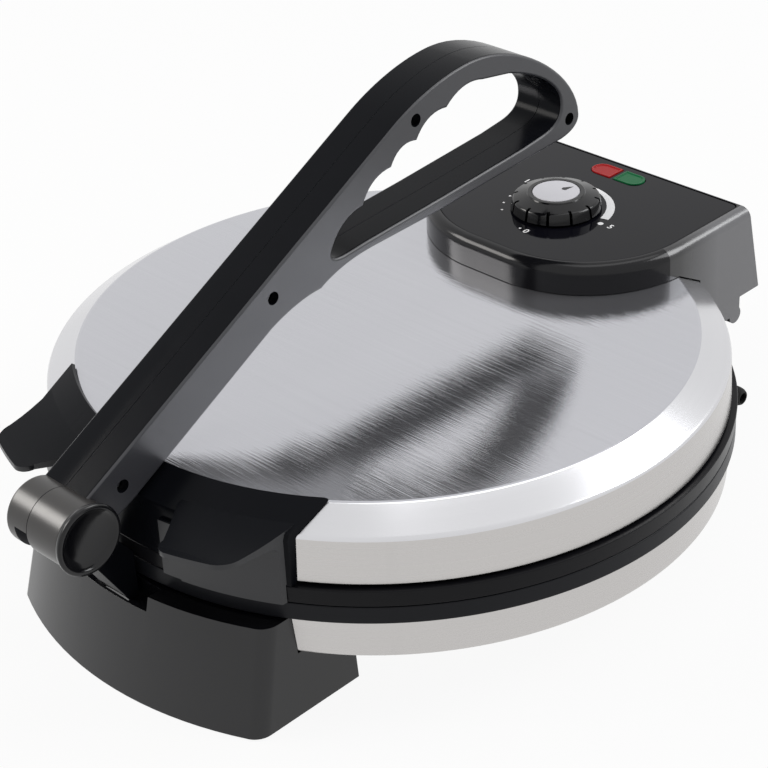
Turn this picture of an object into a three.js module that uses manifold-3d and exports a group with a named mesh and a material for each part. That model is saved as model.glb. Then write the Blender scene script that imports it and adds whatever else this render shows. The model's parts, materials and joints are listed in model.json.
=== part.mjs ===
// Electric roti maker: a round countertop cooker with a hinged lid and a looped pressing lever.
// Millimetres, +Z up. The plates' axis is the Z axis of the inner groups, the lever is at the front
// (-Y) and the controls are at the rear (+Y). The outer group centres the footprint on the origin.
import * as THREE from 'three';
import { mergeVertices } from 'three/addons/utils/BufferGeometryUtils.js';
import Module from 'manifold-3d';

const wasm = await Module();
wasm.setup();

// Fits
const gap = 0.3;
const looseGap = 0.6;
const overrun = 2;
const mergeTolerance = 1e-4;

// Facets
const roundSides = 40;
const innerSides = 24;
const hubSides = 24;
const padSides = 14;
const smallSides = 12;
const screwSides = 6;
const arcSteps = 4;

// Heights of the closed machine, from the table up
const standHeight = 27.5;
const lowerBandHeight = 16.95;
const baseRimHeight = 7.45;
const lidRimHeight = 7.2;
const coverGroove = 1.2;
const upperBandHeight = 19.1;
const bevelRise = 8;
const housingRise = 13.5;

// Round casings
const sheet = 0.8;
const sheetFold = 0.27;
const coverRadius = 140;
const coverFlare = 0.65;
const bevelRun = 12.65;
const flatRadius = coverRadius - bevelRun;
const rimOverhang = 2.8;
const rimRadius = coverRadius + rimOverhang;
const rimFlare = 0.4;
const rimWall = 3;
const ledgeWidth = 4.3;
const ledgeThickness = 1.25;
const panStep = 0.1;
const panRadius = coverRadius + panStep;
const panCorner = 2.5;
const ventCount = 8;
const ventRadius = 66;
const ventLength = 24;
const ventWidth = 3;

// Cooking plates and what is clamped to their backs
const plateMargin = 10.7;
const plateRadius = coverRadius - plateMargin;
const plateFit = 1;
const plateThickness = 5.5;
const plateInset = 0.4;
const ridgeHeight = 3;
const ridgeWidth = 4;
const ridgeFit = 1.2;
const bossRadius = 5;
const studRadius = 2.7;
const tubeRadius = 3.25;
const tubeSides = 6;
const tubeTurns = 28;
const elementRadius = 95;
const elementOpening = degrees(18);
const leadLength = 16;
const leadRadius = 1.4;
const strapWidth = 14;
const strapThickness = 2;
const shieldStep = 1.5;
const shieldMargin = 2;
const shieldRadius = coverRadius - shieldMargin;
const shieldWellMargin = 11;
const shieldWellRadius = elementRadius + shieldWellMargin;
const nutRadius = 5.4;
const nutHeight = 4;
const nutSides = 6;
const fuseRadius = 3;
const fuseLength = 16;
const fusePlace = 50;
const terminalWidth = 30;
const terminalDepth = 14;
const terminalHeight = 5.5;
const terminalX = 28;
const terminalSetback = 52.1;
const terminalY = panRadius - terminalSetback;
const terminalPoles = 3;
const terminalGroove = 4;
const terminalGrooveDepth = 1.8;

// Lid hinge
const hingeReach = 7.2;
const hingeY = rimRadius + hingeReach;
const hingePinRadius = 2.5;
const hingePinHalf = 64;
const knuckleRadius = 7;
const knuckleInner = 38.7;
const knuckleOuter = 50;
const stemFront = 6.4;
const stemRear = 4.5;
const knuckleFront = hingeY - stemFront;
const knuckleRear = hingeY + stemRear;
const knuckleRootZ = 12;
const earRadius = 8;

// Control housing and its panel
const housingHalf = 65;
const housingSpread = 0.5;
const housingOverhang = 12.5;
const housingLength = 103.2;
const housingRear = hingeY + housingOverhang;
const housingFront = housingRear - housingLength;
const housingLean = 4.5;
const housingCorner = 54;
const housingRearCorner = 3;
const housingChamfer = 1.8;
const housingChamferRise = 2;
const housingWall = 3;
const housingFloor = 2.5;
const housingShelf = 2.3;
const housingThroat = 5;
const housingScrewSide = 17;
const housingScrewX = housingHalf - housingScrewSide;
const housingScrewInset = 24.7;
const housingScrewY = housingFront + housingScrewInset;
const housingScrewReach = 8.8;
const housingBossRadius = 5;
const housingBossRise = 9.2;
const panelDrop = 0.2;
const panelThickness = 1.8;
const panelBorder = 3;

// Dial knob and thermostat
const knobInset = 46.7;
const knobY = housingFront + knobInset;
const knobRadius = 20;
const knobTaper = 1;
const knobLift = 0.8;
const knobShoulder = 5.8;
const knobStep = 7.6;
const knobHeight = 8.2;
const knobStepRadius = 12.8;
const knobSocket = 5.8;
const knobFlutes = 12;
const knobFluteRadius = 1.3;
const knobFacetsPerFlute = 2;
const knobCapRadius = 10.3;
const knobCapThickness = 0.8;
const shaftRadius = 3;
const shaftLength = 16.8;
const thermostatWidth = 36;
const thermostatDepth = 30;
const thermostatHeight = 20;
const thermostatWindowMargin = 7;
const bushRadius = 5;
const bushHeight = 1.5;

// Indicator windows and lamps
const lensInset = 14.1;
const lensY = housingRear - lensInset;
const lensHalfLength = 14;
const lensHalfWidth = 5;
const lensInner = 1;
const lensProud = 0.5;
const lensDepth = 4.2;
const lampRadius = 2.8;
const lampLength = 13;

// Front grip with its thumb lugs
const collarEdge = 1.2;
const collarSkin = 2.55;
const gripBackHalf = 74.6;
const gripDepth = 50;
const gripBackY = coverRadius - gripDepth;
const gripWall = 1.7;
const lugInner = 22;
const lugOuter = 68.2;
const lugReach = 24.5;
const lugRadius = coverRadius + lugReach;
const lugFall = 7.9;
const lugThickness = 2.7;
const lugHaunch = 2;
const lugOuterCorner = 11;
const lugInnerCorner = 4;
const gripScrewAngle = degrees(22.5);
const gripScrewDrop = 5.5;
const gripScrewReach = 3.9;

// Feet
const footLift = 0.8;
const footTopZ = 44;
const footReach = 21.9;
const footRadius = panRadius + footReach;
const footLean = 11;
const footHalf = 72;
const footDepth = 46.1;
const footBackY = panRadius - footDepth;
const footCorner = 8;
const footWall = 3;
const rearFootTopZ = 43.4;
const rearFootReach = 22.9;
const rearFootRadius = panRadius + rearFootReach;
const rearFootLean = 10;
const rearFootHalf = 62;
const padRadius = 8;
const padChamfer = 0.8;
const padHeight = 6;
const padInset = 15;
const padSetback = 34.1;
const padY = panRadius - padSetback;
const footBossRadius = 10.5;
const notchHalf = 19;
const notchZ = 38;

// Lever pivot and the bracket that carries it
const pivotReach = 29.7;
const pivotY = rimRadius + pivotReach;
const pivotZ = 82.5;
const hubRadius = 14;
const pinRadius = 4;
const pinLeft = 9.5;
const tongueRadius = 9;
const tongueOuter = 6.9;
const tongueRoot = 0.6;
const neckStart = degrees(283);
const neckEnd = degrees(334);
const slotStart = degrees(177);
const slotEnd = degrees(340);
const armHalf = 8;
const armHubGap = 1.2;
const armFrontAngle = degrees(285);
const armRearAngle = degrees(332);
const armLean = degrees(31);
const armStandoff = 9.3;
const armFront = panRadius + armStandoff;
const armThickness = 4;
const armSlotClearance = 1.8;
const armShoulderDrop = 25;
const flangeHalf = 24;
const flangeThickness = 4;
const flangeDepth = 45.4;
const flangeBackY = armFront - flangeDepth;
const flangeMargin = 6;
const capThickness = 7.7;
const capRimRadius = 14.2;
const capRimWidth = 2.2;
const capRimRound = 1.4;
const capDish = 2.8;
const capStubRadius = 6;
const capStubDepth = 3.8;

// Lever
const leverHalf = 12.5;
const leverReach = 279.5;
const leverCrown = 111.6;
const leverEdge = 1.6;
const grooveDepth = 4.4;
const coreHalf = 1.5;
const coreStart = 31;
const coreEndMargin = 8.9;
const coreTop = 2.5;
const coreBottom = 7.5;

// Fasteners
const screwRadius = 1.9;
const screwHeadRadius = 3.9;
const screwHeadHeight = 2.4;
const screwReach = 3.5;
const leverScrewRadius = 1.4;
const leverScrewHeadRadius = 2.4;
const leverScrewHeadHeight = 2.5;
const leverScrewSink = 4;
const leverScrewTip = 8;

// Cord gland
const glandInset = 29.6;
const glandY = rearFootRadius - glandInset;
const glandZ = 24.2;
const glandRadius = 5;
const glandCollarRadius = 6.5;
const glandCollarThickness = 1.7;
const glandTipRadius = 3.9;
const glandTipRound = 1.5;
const glandReach = 24.5;
const glandTipX = rearFootHalf + glandReach;
const glandBore = 2.4;

// Lever outlines as shares of the lever's reach and of its crown's height above the pivot
const leverTopShares = [[0, 0.071], [0.608, 0.892]];
const leverCrownShares = [[0.665, 0.967], [0.726, 1], [0.771, 1]];
const leverNoseShares = [[0.869, 1], [0.998, 0.771], [1, 0.596]];
const leverChinShares = [[1, 0.539], [0.959, 0.525]];
const leverBarShares = [[0.785, 0.501], [0.698, 0.486], [0.553, 0.476]];
const leverThroatShares = [[0.494, 0.4695], [0.454, 0.417]];
const leverBumpShares = [[0.411, 0.417], [0.3596, 0.361]];
const leverHeelShares = [[0.1127, 0.0242], [0.0805, -0.0233], [0.0465, -0.0412], [0, -0.063]];
const loopSillShares = [[0.488, 0.497], [0.546, 0.511], [0.699, 0.534], [0.875, 0.566], [0.916, 0.579]];
const loopCornerShares = [[0.9446, 0.588], [0.9606, 0.614], [0.9585, 0.6765]];
const loopCrownShares = [[0.9567, 0.7527], [0.9088, 0.8378], [0.846, 0.886]];
const loopCuspShares = [
  [0.791, 0.9095],
  [0.714, 0.874],
  [0.649, 0.811],
  [0.599, 0.748],
  [0.542, 0.65],
  [0.479, 0.542],
];
const leverScrewShares = {
  pivot: [0.0812, 0.0771],
  arm: [0.3649, 0.4758],
  crown: [0.6501, 0.8772],
  bar: [0.976, 0.5959],
};

// The lever's steel core runs along its top edge and ends short of the finger loop
const [topStart, topEnd] = leverTopShares;
const topRise = (topEnd[1] - topStart[1]) * leverCrown;
const leverPitch = Math.atan2(topRise, (topEnd[0] - topStart[0]) * leverReach);
const [loopStartShare] = loopCuspShares.slice(-1);
const loopStart = Math.hypot(loopStartShare[0] * leverReach, loopStartShare[1] * leverCrown);
const coreEnd = loopStart - coreEndMargin;

// Heights that follow
const panTopZ = standHeight + lowerBandHeight;
const baseRimZ = panTopZ + gap;
const baseFaceZ = baseRimZ + baseRimHeight;
const hingeZ = baseFaceZ + gap / 2;
const lidRimZ = baseFaceZ + gap;
const lidRimTopZ = lidRimZ + lidRimHeight;
const coverZ = lidRimTopZ + coverGroove;
const bevelZ = coverZ + upperBandHeight;
const flatZ = bevelZ + bevelRise;
const housingTopZ = flatZ + housingRise;
const housingFloorZ = lidRimTopZ + gap;
const housingShoulderZ = housingTopZ - housingChamferRise;
const panelZ = housingTopZ - panelDrop;
const panelBackZ = panelZ - panelThickness;
const lowerFaceZ = baseFaceZ - plateInset;
const upperFaceZ = lidRimZ + plateInset;
const screwTipZ = standHeight + sheet + screwReach;
const screwHole = screwRadius + gap;

// Levels behind each cooking face
const ledgeLevel = plateThickness + gap;
const ridgeTop = plateThickness + ridgeHeight;
const tubeLevel = plateThickness + gap + tubeRadius;
const strapLevel = tubeLevel + tubeRadius + gap;
const wellLevel = strapLevel + strapThickness + gap;
const nutLevel = wellLevel + sheet + gap;
const studEnd = nutLevel + nutHeight + gap;
const shieldLevel = wellLevel + shieldStep;
const skirtEnd = shieldLevel - gap;
const fuseLevel = plateThickness + gap + fuseRadius;
const rimSkirtRadius = panRadius - sheet - gap;

// Colours and finishes
const glossBlack = finish(0x15161a, 0.2, 0);
const satinBlack = finish(0x24262b, 0.5, 0);
const slate = finish(0x34353c, 0.4, 0);
const brushed = finish(0xb4b2b4, 0.32, 1);
const castAluminium = finish(0x6f7072, 0.6, 0.8);
const bareSteel = finish(0xa4a6a8, 0.4, 1);
const rubber = finish(0x101010, 0.9, 0);
const greyPlastic = finish(0xa9a8b0, 0.4, 0);
const redWindow = finish(0xb01818, 0.2, 0);
const greenWindow = finish(0x0c6b34, 0.2, 0);
const lampGlass = finish(0xe8e2d8, 0.1, 0);
const ceramic = finish(0xd8d2c4, 0.7, 0);

function finish(color, roughness, metalness) {
  return new THREE.MeshStandardMaterial({ color, roughness, metalness });
}

function degrees(angle) {
  return THREE.MathUtils.degToRad(angle);
}

// A closed geometry as a solid that can be joined and cut
function solid(geometry) {
  const bare = geometry.clone();
  bare.deleteAttribute('normal');
  bare.deleteAttribute('uv');
  const merged = mergeVertices(bare, mergeTolerance);
  const corners = merged.index.array;
  const triangles = [];
  for (let i = 0; i < corners.length; i += 3) {
    const [a, b, c] = [corners[i], corners[i + 1], corners[i + 2]];
    if (a !== b && b !== c && c !== a) triangles.push(a, b, c);
  }
  const vertProperties = new Float32Array(merged.attributes.position.array);
  const triVerts = new Uint32Array(triangles);
  return new wasm.Manifold(new wasm.Mesh({ numProp: 3, vertProperties, triVerts }));
}

function geometryOf(body) {
  const { vertProperties, triVerts } = body.getMesh();
  const geometry = new THREE.BufferGeometry();
  geometry.setAttribute('position', new THREE.BufferAttribute(new Float32Array(vertProperties), 3));
  geometry.setIndex(new THREE.BufferAttribute(new Uint32Array(triVerts), 1));
  geometry.computeVertexNormals();
  return geometry;
}

function piece(parent, name, body, material) {
  const mesh = new THREE.Mesh(geometryOf(body), material);
  mesh.name = name;
  parent.add(mesh);
}

function join(bodies) {
  return bodies.reduce((whole, body) => whole.add(body));
}

function cut(body, tools) {
  return tools.reduce((whole, tool) => whole.subtract(tool), body);
}

function mirrored(body) {
  const geometry = geometryOf(body);
  geometry.scale(-1, 1, 1);
  const corners = geometry.index.array;
  for (let i = 0; i < corners.length; i += 3) {
    [corners[i], corners[i + 1]] = [corners[i + 1], corners[i]];
  }
  return solid(geometry);
}

function turned(body, angle) {
  const geometry = geometryOf(body);
  geometry.rotateZ(angle);
  return solid(geometry);
}

// A closed outline of [radius, height] corners, turned about the Z axis
function revolve(profile, sides = roundSides) {
  const area = profile.reduce((sum, [r, z], i) => {
    const [nextR, nextZ] = profile[(i + 1) % profile.length];
    return sum + r * nextZ - nextR * z;
  }, 0);
  const ordered = area > 0 ? [...profile] : [...profile].reverse();
  const points = [...ordered, ordered[0]].map(([r, z]) => new THREE.Vector2(r, z));
  const geometry = new THREE.LatheGeometry(points, sides);
  geometry.rotateX(Math.PI / 2);
  return solid(geometry);
}

// The same about an axis parallel to X, where the outline's heights are places along X
function revolveAlongX(profile, y, z, sides = hubSides) {
  const geometry = geometryOf(revolve(profile, sides));
  geometry.rotateY(Math.PI / 2);
  geometry.translate(0, y, z);
  return solid(geometry);
}

// The same about a level line that runs out from the Z axis
function revolveOutwards(profile, angle, z, sides = screwSides) {
  const geometry = geometryOf(revolve(profile, sides));
  geometry.rotateY(Math.PI / 2);
  geometry.rotateZ(angle);
  geometry.translate(0, 0, z);
  return solid(geometry);
}

function tidyPoints(path) {
  const points = path.getPoints(arcSteps);
  return points.filter((point, i) => point.distanceTo(points[(i + 1) % points.length]) > mergeTolerance);
}

function tidyShape(shape) {
  const tidy = new THREE.Shape(tidyPoints(shape));
  tidy.holes = shape.holes.map((hole) => new THREE.Path(tidyPoints(hole)));
  return tidy;
}

function outline(corners) {
  return new THREE.Shape(corners.map(([x, y]) => new THREE.Vector2(x, y)));
}

function wedge(x, y, radius, start, end) {
  const shape = new THREE.Shape();
  shape.absarc(x, y, radius, start, end, false);
  shape.lineTo(x, y);
  return shape;
}

// An outline in plan, raised from one height to another
function prism(shape, low, high) {
  const settings = { depth: high - low, bevelEnabled: false };
  const geometry = new THREE.ExtrudeGeometry(tidyShape(shape), settings);
  geometry.translate(0, 0, low);
  return solid(geometry);
}

// A side outline in [y, z], run along X, with the edges of its two ends taken off
function slab(shape, left, right, edge = 0) {
  const settings = {
    depth: right - left - 2 * edge,
    bevelEnabled: edge > 0,
    bevelThickness: edge,
    bevelSize: edge,
    bevelOffset: -edge,
    bevelSegments: 1,
  };
  const geometry = new THREE.ExtrudeGeometry(tidyShape(shape), settings);
  const yAxis = new THREE.Vector3(0, 1, 0);
  const zAxis = new THREE.Vector3(0, 0, 1);
  const xAxis = new THREE.Vector3(1, 0, 0);
  geometry.applyMatrix4(new THREE.Matrix4().makeBasis(yAxis, zAxis, xAxis));
  geometry.translate(left + edge, 0, 0);
  return solid(geometry);
}

// A body whose plan changes with height, through sections that have like numbers of points
function loft(sections) {
  const plans = sections.map(({ shape }) => {
    const points = tidyPoints(shape);
    return THREE.ShapeUtils.isClockWise(points) ? points.reverse() : points;
  });
  const count = plans[0].length;
  const positions = plans.flatMap((plan, k) => plan.flatMap((point) => [point.x, point.y, sections[k].z]));
  const faces = [];
  for (let k = 0; k < sections.length - 1; k += 1) {
    for (let i = 0; i < count; i += 1) {
      const a = k * count + i;
      const b = k * count + (i + 1) % count;
      faces.push(a, b, b + count, a, b + count, a + count);
    }
  }
  const top = (sections.length - 1) * count;
  THREE.ShapeUtils.triangulateShape(plans[0], []).forEach(([a, b, c]) => {
    faces.push(a, c, b, top + a, top + b, top + c);
  });
  const geometry = new THREE.BufferGeometry();
  geometry.setAttribute('position', new THREE.Float32BufferAttribute(positions, 3));
  geometry.setIndex(faces);
  return solid(geometry);
}

function block(low, high) {
  const size = high.map((value, i) => value - low[i]);
  const geometry = new THREE.BoxGeometry(...size);
  geometry.translate(...low.map((value, i) => value + size[i] / 2));
  return solid(geometry);
}

function post(radius, low, high, x, y, sides = smallSides) {
  const geometry = new THREE.CylinderGeometry(radius, radius, high - low, sides);
  geometry.rotateX(Math.PI / 2);
  geometry.translate(x, y, (low + high) / 2);
  return solid(geometry);
}

function axle(radius, left, right, y, z, sides = smallSides) {
  const geometry = new THREE.CylinderGeometry(radius, radius, right - left, sides);
  geometry.rotateZ(Math.PI / 2);
  geometry.translate((left + right) / 2, y, z);
  return solid(geometry);
}

// The outline of a screw, from its head at one place to its tip at another
function screwProfile(head, tip) {
  const neck = head + screwHeadHeight;
  return [
    [0, head],
    [screwHeadRadius, head],
    [screwHeadRadius, neck],
    [screwRadius, neck],
    [screwRadius, tip],
    [0, tip],
  ];
}

function uprightScrew(head, tip, [x, y]) {
  const geometry = geometryOf(revolve(screwProfile(head, tip), screwSides));
  geometry.translate(x, y, 0);
  return solid(geometry);
}

const machine = new THREE.Group();
const base = new THREE.Group();
const lid = new THREE.Group();
const lever = new THREE.Group();
const dial = new THREE.Group();
lever.position.set(0, -pivotY, pivotZ);
dial.position.set(0, knobY, panelZ);
machine.add(base, lid, lever, dial);
const frontReach = pivotY + capRimRadius;
const rearReach = housingRear + housingLean;
machine.position.y = (frontReach - rearReach) / 2;

// Heating packs, drawn from the cooking face backwards: the lower one is the same, upside down
const lowerPack = new THREE.Group();
const upperPack = new THREE.Group();
lowerPack.rotation.x = Math.PI;
lowerPack.position.z = lowerFaceZ;
upperPack.position.z = upperFaceZ;
base.add(lowerPack);
lid.add(upperPack);

function cookingPlate() {
  const outer = elementRadius + tubeRadius + ridgeFit;
  const inner = elementRadius - tubeRadius - ridgeFit;
  return revolve([
    [0, 0],
    [plateRadius, 0],
    [plateRadius, plateThickness],
    [outer + ridgeWidth, plateThickness],
    [outer + ridgeWidth, ridgeTop],
    [outer, ridgeTop],
    [outer, plateThickness],
    [inner, plateThickness],
    [inner, ridgeTop],
    [inner - ridgeWidth, ridgeTop],
    [inner - ridgeWidth, plateThickness],
    [bossRadius, plateThickness],
    [bossRadius, strapLevel - gap],
    [studRadius, strapLevel - gap],
    [studRadius, studEnd],
    [0, studEnd],
  ], innerSides);
}

function heatingTube() {
  const start = (Math.PI + elementOpening) / 2;
  const sweep = 2 * Math.PI - elementOpening;
  const points = Array.from({ length: tubeTurns + 1 }, (_, i) => {
    const angle = start + (sweep * i) / tubeTurns;
    return new THREE.Vector3(elementRadius * Math.cos(angle), elementRadius * Math.sin(angle), tubeLevel);
  });
  const section = new THREE.Shape();
  section.absarc(0, 0, tubeRadius, 0, 2 * Math.PI);
  const extrudePath = new THREE.CatmullRomCurve3(points);
  const settings = { steps: tubeTurns, bevelEnabled: false, curveSegments: tubeSides / 2, extrudePath };
  const leads = [points[1], points[tubeTurns - 1]].map((end) => {
    const lead = new THREE.CylinderGeometry(leadRadius, leadRadius, leadLength, screwSides);
    lead.translate(0, -leadLength / 2, 0);
    lead.rotateZ(Math.atan2(end.y, end.x) - Math.PI / 2);
    lead.translate(end.x, end.y, ridgeTop + gap + leadRadius);
    return solid(lead);
  });
  return join([solid(new THREE.ExtrudeGeometry(section, settings)), ...leads]);
}

function clampStrap() {
  const half = elementRadius + tubeRadius + ridgeWidth;
  const strapEnd = strapLevel + strapThickness;
  const strap = block([-half, -strapWidth / 2, strapLevel], [half, strapWidth / 2, strapEnd]);
  return cut(strap, [post(studRadius + gap, strapLevel - overrun, strapEnd + overrun, 0, 0)]);
}

function heatShield() {
  const hole = studRadius + gap;
  return revolve([
    [hole, wellLevel],
    [shieldWellRadius, wellLevel],
    [shieldWellRadius + ridgeWidth, shieldLevel],
    [shieldRadius, shieldLevel],
    [shieldRadius, shieldLevel + sheet],
    [shieldWellRadius + ridgeWidth, shieldLevel + sheet],
    [shieldWellRadius, wellLevel + sheet],
    [hole, wellLevel + sheet],
  ], innerSides);
}

function hexNut() {
  const nutEnd = nutLevel + nutHeight;
  const nut = post(nutRadius, nutLevel, nutEnd, 0, 0, nutSides);
  return cut(nut, [post(studRadius + gap, nutLevel - overrun, nutEnd + overrun, 0, 0)]);
}

[['lower', lowerPack], ['upper', upperPack]].forEach(([side, pack]) => {
  piece(pack, `${side}_plate`, cookingPlate(), castAluminium);
  piece(pack, `${side}_element`, heatingTube(), bareSteel);
  piece(pack, `${side}_clamp`, clampStrap(), bareSteel);
  piece(pack, `${side}_shield`, heatShield(), bareSteel);
  piece(pack, `${side}_nut`, hexNut(), bareSteel);
});
const fuse = axle(fuseRadius, -fuseLength / 2, fuseLength / 2, fusePlace, fuseLevel);
piece(lowerPack, 'thermal_fuse', fuse, ceramic);

// Fixing places that more than one piece follows
const frontPadPlaces = [[padInset - footHalf, -padY], [footHalf - padInset, -padY]];
const rearPadPlaces = [[padInset - rearFootHalf, padY], [rearFootHalf - padInset, padY]];
const bracketScrewX = flangeHalf - flangeMargin;
const bracketScrewY = flangeBackY + flangeMargin;
const bracketPlaces = [[-bracketScrewX, -bracketScrewY], [bracketScrewX, -bracketScrewY]];
const housingPlaces = [[-housingScrewX, housingScrewY], [housingScrewX, housingScrewY]];

// Base pan: a drawn steel bowl with air slots and screw holes in its floor
function basePan() {
  const bendAngles = [degrees(-90), degrees(-45), 0];
  const bend = (radius) => bendAngles.map((angle) => [
    panRadius - panCorner + radius * Math.cos(angle),
    standHeight + panCorner + radius * Math.sin(angle),
  ]);
  const bowl = revolve([
    [0, standHeight],
    ...bend(panCorner),
    [panRadius, panTopZ],
    [panRadius - sheet, panTopZ],
    ...bend(panCorner - sheet).reverse(),
    [0, standHeight + sheet],
  ]);
  const low = standHeight - overrun;
  const high = standHeight + sheet + overrun;
  const slots = Array.from({ length: ventCount }, (_, i) => {
    const slot = block(
      [ventRadius - ventLength / 2, -ventWidth / 2, low],
      [ventRadius + ventLength / 2, ventWidth / 2, high],
    );
    return turned(slot, (Math.PI * (2 * i + 1)) / ventCount);
  });
  const holes = [...frontPadPlaces, ...rearPadPlaces, ...bracketPlaces].map(([x, y]) => (
    post(screwHole, low, high, x, y, screwSides)
  ));
  return cut(bowl, [...slots, ...holes]);
}
piece(base, 'base_pan', basePan(), brushed);

// The moulded rims carry the plates' edges and hide the casings' edges. The levels run from the
// closing face: down for the base's rim, up for the lid's.
function rim(faceZ, way, height, edgeRadius) {
  const bed = plateRadius + plateFit;
  const ledge = ledgeLevel + plateInset;
  const skirt = skirtEnd + plateInset;
  return revolve([
    [bed, 0],
    [rimRadius, 0],
    [edgeRadius, height],
    [rimSkirtRadius, height],
    [rimSkirtRadius, skirt],
    [rimSkirtRadius - rimWall, skirt],
    [rimSkirtRadius - rimWall, ledge + ledgeThickness],
    [bed - ledgeWidth, ledge + ledgeThickness],
    [bed - ledgeWidth, ledge],
    [bed, ledge],
  ].map(([radius, level]) => [radius, faceZ + way * level]));
}
piece(base, 'base_rim', rim(baseFaceZ, -1, baseRimHeight, rimRadius), slate);
piece(lid, 'lid_rim', rim(lidRimZ, 1, lidRimHeight, rimRadius + rimFlare), satinBlack);

function terminalBlock() {
  const low = standHeight + sheet + gap;
  const high = low + terminalHeight;
  const [left, front] = [terminalX - terminalWidth / 2, terminalY - terminalDepth / 2];
  const body = block([left, front, low], [left + terminalWidth, front + terminalDepth, high]);
  const pitch = terminalWidth / terminalPoles;
  const grooves = Array.from({ length: terminalPoles }, (_, i) => {
    const x = left + pitch * (i + 1 / 2);
    return block(
      [x - terminalGroove / 2, front - overrun, high - terminalGrooveDepth],
      [x + terminalGroove / 2, front + terminalDepth + overrun, high + overrun],
    );
  });
  return cut(body, grooves);
}
piece(base, 'terminal_block', terminalBlock(), ceramic);

// Feet: hollow mouldings, open below, with a ledge under the pan and a wall round it
function footPlan(half, radius, inset) {
  const [side, reach, corner] = [half - inset, radius - inset, footCorner - inset];
  const x = side - corner;
  const y = -Math.sqrt((reach - corner) ** 2 - x ** 2);
  const meet = 2 * Math.PI + Math.atan2(y, x);
  const plan = new THREE.Shape();
  plan.moveTo(side, -footBackY - inset);
  plan.lineTo(-side, -footBackY - inset);
  plan.absarc(-x, y, corner, Math.PI, 3 * Math.PI - meet, false);
  plan.absarc(0, 0, reach, 3 * Math.PI - meet, meet, false);
  plan.absarc(x, y, corner, meet, 2 * Math.PI, false);
  return plan;
}

const footCeilingZ = standHeight - gap;
const padScrewZ = padHeight + looseGap;
const padScrewSeatZ = padScrewZ + screwHeadHeight + gap;

function foot(half, radius, lean, topZ, places, keepSolid = []) {
  const section = (z, inset) => {
    const reach = radius - (lean * (z - footLift)) / (topZ - footLift);
    return { z, shape: footPlan(half, reach, inset) };
  };
  const panSpace = (reach, z) => revolve([[0, z], [reach, z], [reach, coverZ], [0, coverZ]]);
  const wallRadius = panRadius + gap;
  const outside = loft([section(footLift, 0), section(topZ, 0)]);
  const inside = cut(loft([section(footLift - overrun, footWall), section(topZ - footWall, footWall)]), [
    panSpace(wallRadius + footWall, footCeilingZ - footWall),
    ...keepSolid,
  ]);
  const walls = cut(outside, [panSpace(wallRadius, footCeilingZ), inside]);
  const posts = places.map(([x, y]) => post(footBossRadius, footLift, footCeilingZ, x, y, padSides));
  return cut(join([walls, ...posts]), places.flatMap(([x, y]) => [
    post(padRadius + gap, 0, padHeight + gap, x, y, padSides),
    post(screwHeadRadius + gap, padHeight, padScrewSeatZ, x, y),
    post(screwHole, padHeight, standHeight, x, y, screwSides),
  ]));
}

const flangeTopZ = footCeilingZ - footWall - gap;
const flangeZ = flangeTopZ - flangeThickness;

function frontFoot() {
  const notchWall = notchHalf + footWall;
  const notchBed = block([-notchWall, -footRadius, notchZ - footWall], [notchWall, 0, footTopZ]);
  const shell = foot(footHalf, footRadius, footLean, footTopZ, frontPadPlaces, [notchBed]);
  const notchBack = -(panRadius + gap + footWall);
  const notch = block([-notchHalf, -footRadius, notchZ], [notchHalf, notchBack, footTopZ + overrun]);
  const armSlot = block(
    [-armHalf - gap, -armFront - armSlotClearance, notchZ - footWall - overrun],
    [armHalf + gap, armThickness - armFront + gap, notchZ + overrun],
  );
  const holes = bracketPlaces.map(([x, y]) => post(screwHole, flangeZ, standHeight, x, y, screwSides));
  return cut(shell, [notch, armSlot, ...holes]);
}
piece(base, 'front_foot', frontFoot(), glossBlack);

function knuckle() {
  const disc = axle(knuckleRadius, knuckleInner, knuckleOuter, hingeY, hingeZ, padSides);
  const stem = block([knuckleInner, knuckleFront, knuckleRootZ], [knuckleOuter, knuckleRear, hingeZ]);
  const bore = axle(hingePinRadius + gap, knuckleInner - overrun, knuckleOuter + overrun, hingeY, hingeZ);
  return cut(join([disc, stem]), [bore]);
}

function rearFoot() {
  const places = rearPadPlaces.map(([x, y]) => [-x, -y]);
  const shell = turned(foot(rearFootHalf, rearFootRadius, rearFootLean, rearFootTopZ, places), Math.PI);
  const wallX = rearFootHalf - footWall;
  const hole = axle(glandRadius + gap, wallX - overrun, rearFootHalf + overrun, glandY, glandZ, padSides);
  return join([cut(shell, [hole]), knuckle(), mirrored(knuckle())]);
}
piece(base, 'rear_foot', rearFoot(), satinBlack);

function cordGland() {
  const root = rearFootHalf - footWall + gap;
  const collar = rearFootHalf + gap;
  return revolveAlongX([
    [glandBore, root],
    [glandRadius, root],
    [glandRadius, collar],
    [glandCollarRadius, collar],
    [glandCollarRadius, collar + glandCollarThickness],
    [glandRadius, collar + glandCollarThickness],
    [glandTipRadius, glandTipX - glandTipRound],
    [glandTipRadius - glandTipRound / 2, glandTipX],
    [glandBore, glandTipX],
  ], glandY, glandZ, smallSides);
}
piece(base, 'cord_gland', cordGland(), rubber);

function rubberFoot([x, y]) {
  const profile = [
    [0, 0],
    [padRadius - padChamfer, 0],
    [padRadius, padChamfer],
    [padRadius, padHeight],
    [0, padHeight],
  ];
  const geometry = geometryOf(revolve(profile, padSides));
  geometry.translate(x, y, 0);
  return solid(geometry);
}

[['front', frontPadPlaces], ['rear', rearPadPlaces]].forEach(([end, places]) => {
  places.forEach((place, i) => {
    const side = ['left', 'right'][i];
    piece(base, `rubber_foot_${end}_${side}`, rubberFoot(place), rubber);
    piece(base, `foot_screw_${end}_${side}`, uprightScrew(padScrewZ, screwTipZ, place), bareSteel);
  });
});

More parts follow.
